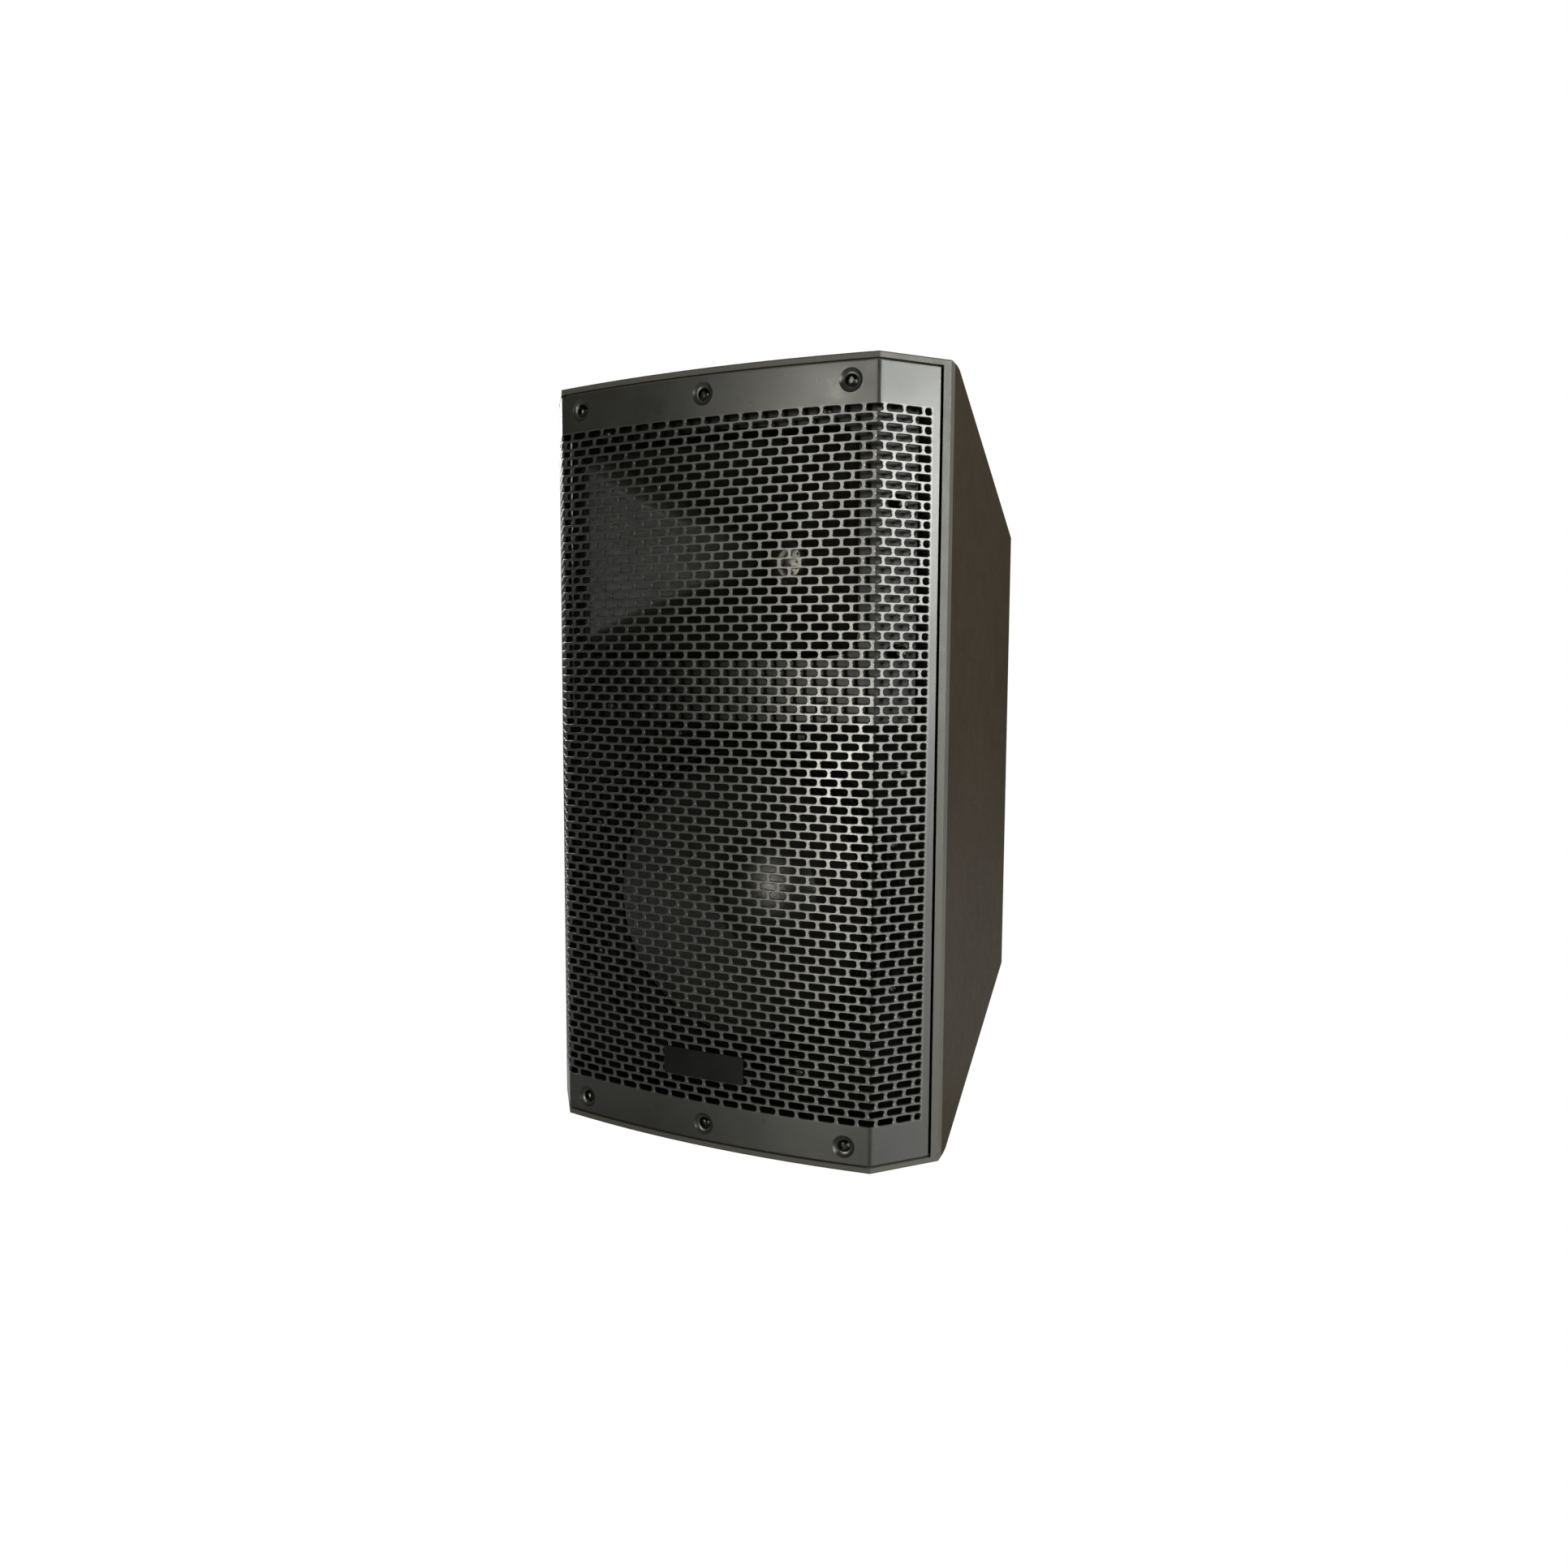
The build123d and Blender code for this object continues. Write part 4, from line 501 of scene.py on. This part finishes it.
def slot_cell(sheet, first, last, row, length):
    """One slot with the metal round it, between two half-pitch columns, at a row."""
    run = (first + last) / 2 * half_pitch
    up = row * half_row
    high, low = up + half_row, up - half_row
    left, right = first * half_pitch, last * half_pitch
    grow = 2 * slot_bevel
    grown = slot_outline(run, up, length + grow, slot_height + grow, slot_corner + slot_bevel)
    inner = slot_outline(run, up, length, slot_height, slot_corner)
    front = [sheet.point(x, 0.0, z) for x, z in grown]
    step = [sheet.point(x, slot_bevel, z) for x, z in inner]
    rear = [sheet.point(x, sheet_thick, z) for x, z in inner]
    for back, rim in ((False, front), (True, rear)):
        top_left, top_right = sheet.borders([(left, high), (right, high)], back)
        low_left, low_right = sheet.borders([(left, low), (right, low)], back)
        mid_left, mid_right = sheet.borders([(left, up), (right, up)], back)
        if last - first > 1:  # the rows above and below have a point at the middle
            top, bottom = sheet.borders([(run, high), (run, low)], back)
            sheet.face([top_left, top, rim[1], rim[0]], back)
            sheet.face([top, top_right, rim[2], rim[1]], back)
            sheet.face([low_right, bottom, rim[9], rim[8]], back)
            sheet.face([bottom, low_left, rim[10], rim[9]], back)
        else:
            sheet.face([top_left, top_right, rim[2], rim[1], rim[0]], back)
            sheet.face([low_right, low_left, rim[10], rim[9], rim[8]], back)
        sheet.face([top_right, mid_right] + rim[5:1:-1], back)
        sheet.face([mid_right, low_right] + rim[8:4:-1], back)
        sheet.face([low_left, mid_left] + rim[13:9:-1], back)
        sheet.face([mid_left, top_left, rim[0]] + rim[15:12:-1], back)
    join_rings(sheet, front, step, False)
    join_rings(sheet, step, rear, False)


def slotted_rows(sheet):
    """Rows of slots, each laid like bricks on the one under it."""
    for row in range(slot_rows):
        place = slot_rows - 1 - 2 * row  # in half rows from the middle
        if row % 2 == 0:  # staggered, with a short slot at each end
            for k in range(-slot_columns + 1, slot_columns - 1, 2):
                slot_cell(sheet, k, k + 2, place, slot_length)
            slot_cell(sheet, slot_columns - 1, slot_columns, place, end_slot_length)
            slot_cell(sheet, -slot_columns, -slot_columns + 1, place, end_slot_length)
        else:
            for k in range(-slot_columns, slot_columns, 2):
                slot_cell(sheet, k, k + 2, place, slot_length)


def side_strips(sheet):
    """Plain metal beside the last slots."""
    for step in range(-slot_rows, slot_rows):
        low, high = step * half_row, (step + 1) * half_row
        for side in (1, -1):
            inner, outer = side * slotted_run, side * sheet_half
            for back in (False, True):
                corners = [(inner, low), (inner, high), (outer, high), (outer, low)]
                sheet.face(sheet.borders(corners, back), back != (side < 0))
            edge = sheet.borders([(outer, low), (outer, high)], False)
            edge += sheet.borders([(outer, high), (outer, low)], True)
            sheet.face(edge, side < 0)


def seat_ring(sheet, run, side, radius, deep):
    """Points of a circle round a seat's centre."""
    ring = []
    for k in range(seat_sides):
        angle = 2 * math.pi * k / seat_sides
        up = seat_rise + radius * math.sin(angle)
        ring.append(sheet.point(run + radius * math.cos(angle), deep, side * up))
    return ring


def seat_patch(sheet, first, last, run, side):
    """The plain strip's part with a dished seat, between two half-pitch columns."""
    edge = [(k * half_pitch, slotted_rise) for k in range(first, last + 1)]
    edge += [(k * half_pitch, half_tall) for k in range(last, first - 1, -1)]
    around = [math.atan2(z - seat_rise, x - run) / (2 * math.pi) for x, z in edge]
    turns = [round(turn % 1.0 * seat_sides) % seat_sides for turn in around]
    holes = []
    for back in (False, True):
        deep = sheet_thick if back else 0.0
        rings = [seat_ring(sheet, run, side, radius, deep) for radius in seat_rings]
        flip = back == (side > 0)
        for outer, inner in zip(rings, rings[1:]):
            join_rings(sheet, outer, inner, flip)
        corners = sheet.borders([(x, side * z) for x, z in edge], back)
        for k in range(len(edge)):  # from the patch's edge to the outermost circle
            steps = (turns[k] - turns[k - 1]) % seat_sides
            arc = [rings[0][(turns[k] - s) % seat_sides] for s in range(steps + 1)]
            sheet.face([corners[k - 1], corners[k]] + arc, flip)
        holes.append(rings[-1])
    join_rings(sheet, *holes, side < 0)


def end_strips(sheet):
    """Plain strips above and below the slots, with their seats."""
    ends = [k * half_pitch for k in range(-slot_columns, slot_columns + 1)]
    ends = [-sheet_half, *ends, sheet_half]
    seats = [round(run / half_pitch) for run in seat_runs]
    for side in (1, -1):
        base, top = side * slotted_rise, side * half_tall
        for seat, run in zip(seats, seat_runs):
            seat_patch(sheet, seat - seat_reach, seat + seat_reach, run, side)
        for column, (left, right) in enumerate(zip(ends, ends[1:]), -slot_columns - 1):
            if not any(-seat_reach <= column - seat < seat_reach for seat in seats):
                for back in (False, True):
                    corners = [(left, base), (left, top), (right, top), (right, base)]
                    sheet.face(sheet.borders(corners, back), back != (side < 0))
            edge = [sheet.border(left, top, False), sheet.border(left, top, True)]
            edge += [sheet.border(right, top, True), sheet.border(right, top, False)]
            sheet.face(edge, side < 0)
        for end in (-sheet_half, sheet_half):
            edge = sheet.borders([(end, base), (end, top)], False)
            edge += sheet.borders([(end, top), (end, base)], True)
            sheet.face(edge, end * side < 0)


def fold(sheet):
    """Cut the flat sheet across both folds, then lay every point on the bowed form."""
    flat = bpy.data.meshes.new("flat")
    flat.from_pydata(sheet.points, [], sheet.faces)
    work = bmesh.new()
    work.from_mesh(flat)
    for side in (1, -1):
        for k in range(fold_cuts + 1):
            place = side * (fold_start + (fold_end - fold_start) * k / fold_cuts)
            everything = work.verts[:] + work.edges[:] + work.faces[:]
            bmesh.ops.bisect_plane(
                work, geom=everything, dist=1e-7, plane_co=(place, 0, 0), plane_no=(1, 0, 0)
            )
    for face in work.faces:  # painted highlight: the webs between the slots get a brighter, glossier copy of the paint
        run, _, up = face.calc_center_median()
        face.material_index = int(abs(run) < slotted_run and abs(up) < slotted_rise)
    for vertex in work.verts:
        vertex.co = on_sheet(*vertex.co)
    faces_outward(work, flat)
    return flat


def slotted_grille():
    """The steel sheet with its fine pattern of slots, in place of the CAD grille."""
    sheet = Sheet()
    slotted_rows(sheet)
    side_strips(sheet)
    end_strips(sheet)
    mesh = fold(sheet)
    mesh.name = "slotted_grille"
    mesh.materials.append(grille_paint)
    mesh.materials.append(web_highlight_paint)
    smooth(mesh, 28.0)
    piece = bpy.data.objects.new("slotted_grille", mesh)
    mount(piece)
    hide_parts("grille")


slotted_grille()


# ---------------------------------------------------------------- print on the rear panel
white_print = coated("white_print", (0.62, 0.62, 0.60), 0.45, 1200.0, 0.00001)
print_thick = 0.08 * mm
letter_size = 4.0 * mm
tick_length = 2.2 * mm
tick_width = 0.5 * mm
tick_gap = 3.0 * mm  # from the knob to the ticks' middle
number_gap = 7.0 * mm
word_gap = 5.0 * mm
dial_turn = 150.0  # degrees from the middle to either end
dial_last = 10
box_faces = (3, 2, 1, 0), (4, 5, 6, 7), (0, 1, 5, 4), (1, 2, 6, 5), (2, 3, 7, 6), (3, 0, 4, 7)


def printed_ticks(name, ticks):
    """Thin printed bars on the panel; each has its centre and its direction."""
    points, faces = [], []
    for x, z, angle in ticks:
        along = Vector((math.sin(angle), 0.0, math.cos(angle))) * tick_length / 2
        across = Vector((math.cos(angle), 0.0, -math.sin(angle))) * tick_width / 2
        faces += [[len(points) + k for k in corners] for corners in box_faces]
        for out in (0.0, print_thick):
            middle = Vector((x, panel_y + out, z))
            points += [middle - along - across, middle + along - across]
            points += [middle + along + across, middle - along + across]
    mesh = bpy.data.meshes.new(name)
    mesh.from_pydata(points, [], faces)
    mesh.materials.append(white_print)
    smooth(mesh, 35.0)
    mount(bpy.data.objects.new(name, mesh))
    work = bmesh.new()
    work.from_mesh(mesh)
    faces_outward(work, mesh)


def lettering(name, text, x, z):
    """Generic lettering, read from behind the cabinet."""
    curve = bpy.data.curves.new(name, "FONT")
    curve.body = text
    curve.size = letter_size
    curve.extrude = print_thick / 2
    curve.resolution_u = 3
    curve.align_x = "CENTER"
    curve.align_y = "CENTER"
    curve.materials.append(white_print)
    piece = bpy.data.objects.new(name, curve)
    piece.location = (x, panel_y + print_thick / 2, z)
    piece.rotation_euler = (math.pi / 2, 0.0, math.pi)
    mount(piece)


def middle_of(node):
    """Centre and size of a CAD node."""
    low, high = (Vector(corner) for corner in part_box(node))
    return (low + high) / 2, high - low


def dial(number):
    """Scale round a gain knob, from 0 to 10, numbered at its ends and its middle."""
    centre, size = middle_of(f"gain_knob_{number}")

    def place(value, out):
        angle = math.radians(dial_turn * (2 * value / dial_last - 1))
        reach = size.x / 2 + out
        return centre.x - reach * math.sin(angle), centre.z + reach * math.cos(angle), -angle

    ticks = [place(value, tick_gap) for value in range(dial_last + 1)]
    printed_ticks(f"dial_ticks_{number}", ticks)
    for value in (0, dial_last // 2, dial_last):
        x, z, _ = place(value, number_gap)
        lettering(f"dial_{number}_{value}", str(value), x, z)


def rear_print():
    """Scales at the gain knobs, and ON and OFF at the rocker."""
    for number in (1, 2):
        dial(number)
    rocker, size = middle_of("power_switch")
    away = size.z / 2 + word_gap
    lettering("rocker_on", "ON", rocker.x, rocker.z + away)
    lettering("rocker_off", "OFF", rocker.x, rocker.z - away)


rear_print()


# ---------------------------------------------------------------- stage and light
floor_reach = 30.0
lamp_target = Vector((0.0, -0.1, 0.3))
lamp_distance = 2.2
warm, cool = (1.0, 0.985, 0.88), (0.98, 1.0, 0.95)
# Name, azimuth and elevation in degrees, width and height in metres, watts, colour
lights = (
    ("front_far_left", -24, 14, 0.36, 0.60, 1.0, warm),
    ("front_left", -14, 12, 0.36, 0.40, 4.0, warm),
    ("front_low", -5, -2, 0.36, 0.34, 20.4, warm),
    ("front_high", -5, 17, 0.36, 0.40, 8.2, warm),
    ("half_right", 50, 5, 0.38, 0.34, 7.9, cool),
    ("right_low", 75, -2, 0.50, 0.34, 9.1, cool),
    ("right_mid", 82, 7, 0.50, 0.34, 7.1, cool),
    ("right_high", 78, 16, 0.38, 0.34, 11.1, cool),
    ("right_back", 98, 16, 0.38, 0.34, 56.6, cool),
    ("left", -110, 25, 1.2, 1.2, 30.0, white),
    ("back", 212, 30, 1.4, 1.2, 60.0, white),
)
camera_place = Vector((0.4612, apex_y - 0.7888, middle_z + 0.0733))
camera_turn = math.radians(26.40)  # to the left of +Y
camera_tilt = math.radians(5.30)  # downwards
camera_roll = math.radians(0.29)
camera_lens = 27.32
camera_sensor = 36.0


def white_to_camera(tree, lit, kind, output):
    """Plain white where the camera looks straight at it; light meets the lit shader instead."""
    plain = tree.nodes.new(kind)
    plain.inputs["Color"].default_value = (*white, 1.0)
    seen = tree.nodes.new("ShaderNodeLightPath")
    mix = tree.nodes.new("ShaderNodeMixShader")
    tree.links.new(seen.outputs["Is Camera Ray"], mix.inputs["Fac"])
    tree.links.new(lit.outputs[0], mix.inputs[1])
    tree.links.new(plain.outputs[0], mix.inputs[2])
    tree.links.new(mix.outputs[0], tree.nodes[output].inputs["Surface"])


def stage_floor():
    """A floor that reflects a little of the lights."""
    n = Nodes("stage_floor")
    n.shader.inputs["Base Color"].default_value = (0.25, 0.25, 0.25, 1.0)
    n.shader.inputs["Roughness"].default_value = 0.22
    white_to_camera(n.tree, n.shader, "ShaderNodeEmission", "Material Output")
    mesh = bpy.data.meshes.new("stage_floor")
    far = floor_reach
    corners = [(-far, -far, 0), (far, -far, 0), (far, far, 0), (-far, far, 0)]
    mesh.from_pydata(corners, [], [(0, 1, 2, 3)])
    mesh.materials.append(n.material)
    floor = bpy.data.objects.new("stage_floor", mesh)
    link(floor)


def softbox(name, azimuth, elevation, width, height, power, colour):
    """A rectangular light that faces the cabinet; azimuth 0 is in front of it, 90 to its right."""
    turn, rise = math.radians(azimuth), math.radians(elevation)
    flat = math.cos(rise)
    away = Vector((math.sin(turn) * flat, -math.cos(turn) * flat, math.sin(rise)))
    data = bpy.data.lights.new(name, "AREA")
    data.shape = "RECTANGLE"
    data.size = width
    data.size_y = height
    data.energy = power
    data.color = colour
    lamp = bpy.data.objects.new(name, data)
    lamp.location = lamp_target + away * lamp_distance
    lamp.rotation_euler = (-away).to_track_quat("-Z", "Y").to_euler()
    link(lamp)


def studio():
    """A dim white room with its softboxes."""
    world = bpy.data.worlds.new("studio")
    world.use_nodes = True
    dim = world.node_tree.nodes["Background"]
    dim.inputs["Color"].default_value = (*white, 1.0)
    dim.inputs["Strength"].default_value = 0.02
    white_to_camera(world.node_tree, dim, "ShaderNodeBackground", "World Output")
    bpy.context.scene.world = world
    for name, *values in lights:
        softbox("light_" + name, *values)


def camera():
    """The camera, placed as a fit to the cabinet's corners gives it."""
    data = bpy.data.cameras.new("camera")
    data.sensor_width = camera_sensor
    data.lens = camera_lens
    eye = bpy.data.objects.new("camera", data)
    flat, drop = math.cos(camera_tilt), math.sin(camera_tilt)
    ahead = Vector((-math.sin(camera_turn) * flat, math.cos(camera_turn) * flat, -drop))
    turn = ahead.to_track_quat("-Z", "Y").to_matrix().to_4x4()
    roll = Matrix.Rotation(camera_roll, 4, "Z")
    eye.matrix_world = Matrix.Translation(camera_place) @ turn @ roll
    link(eye)
    bpy.context.scene.camera = eye


stage_floor()
studio()
camera()
bpy.context.scene.view_settings.view_transform = "Standard"
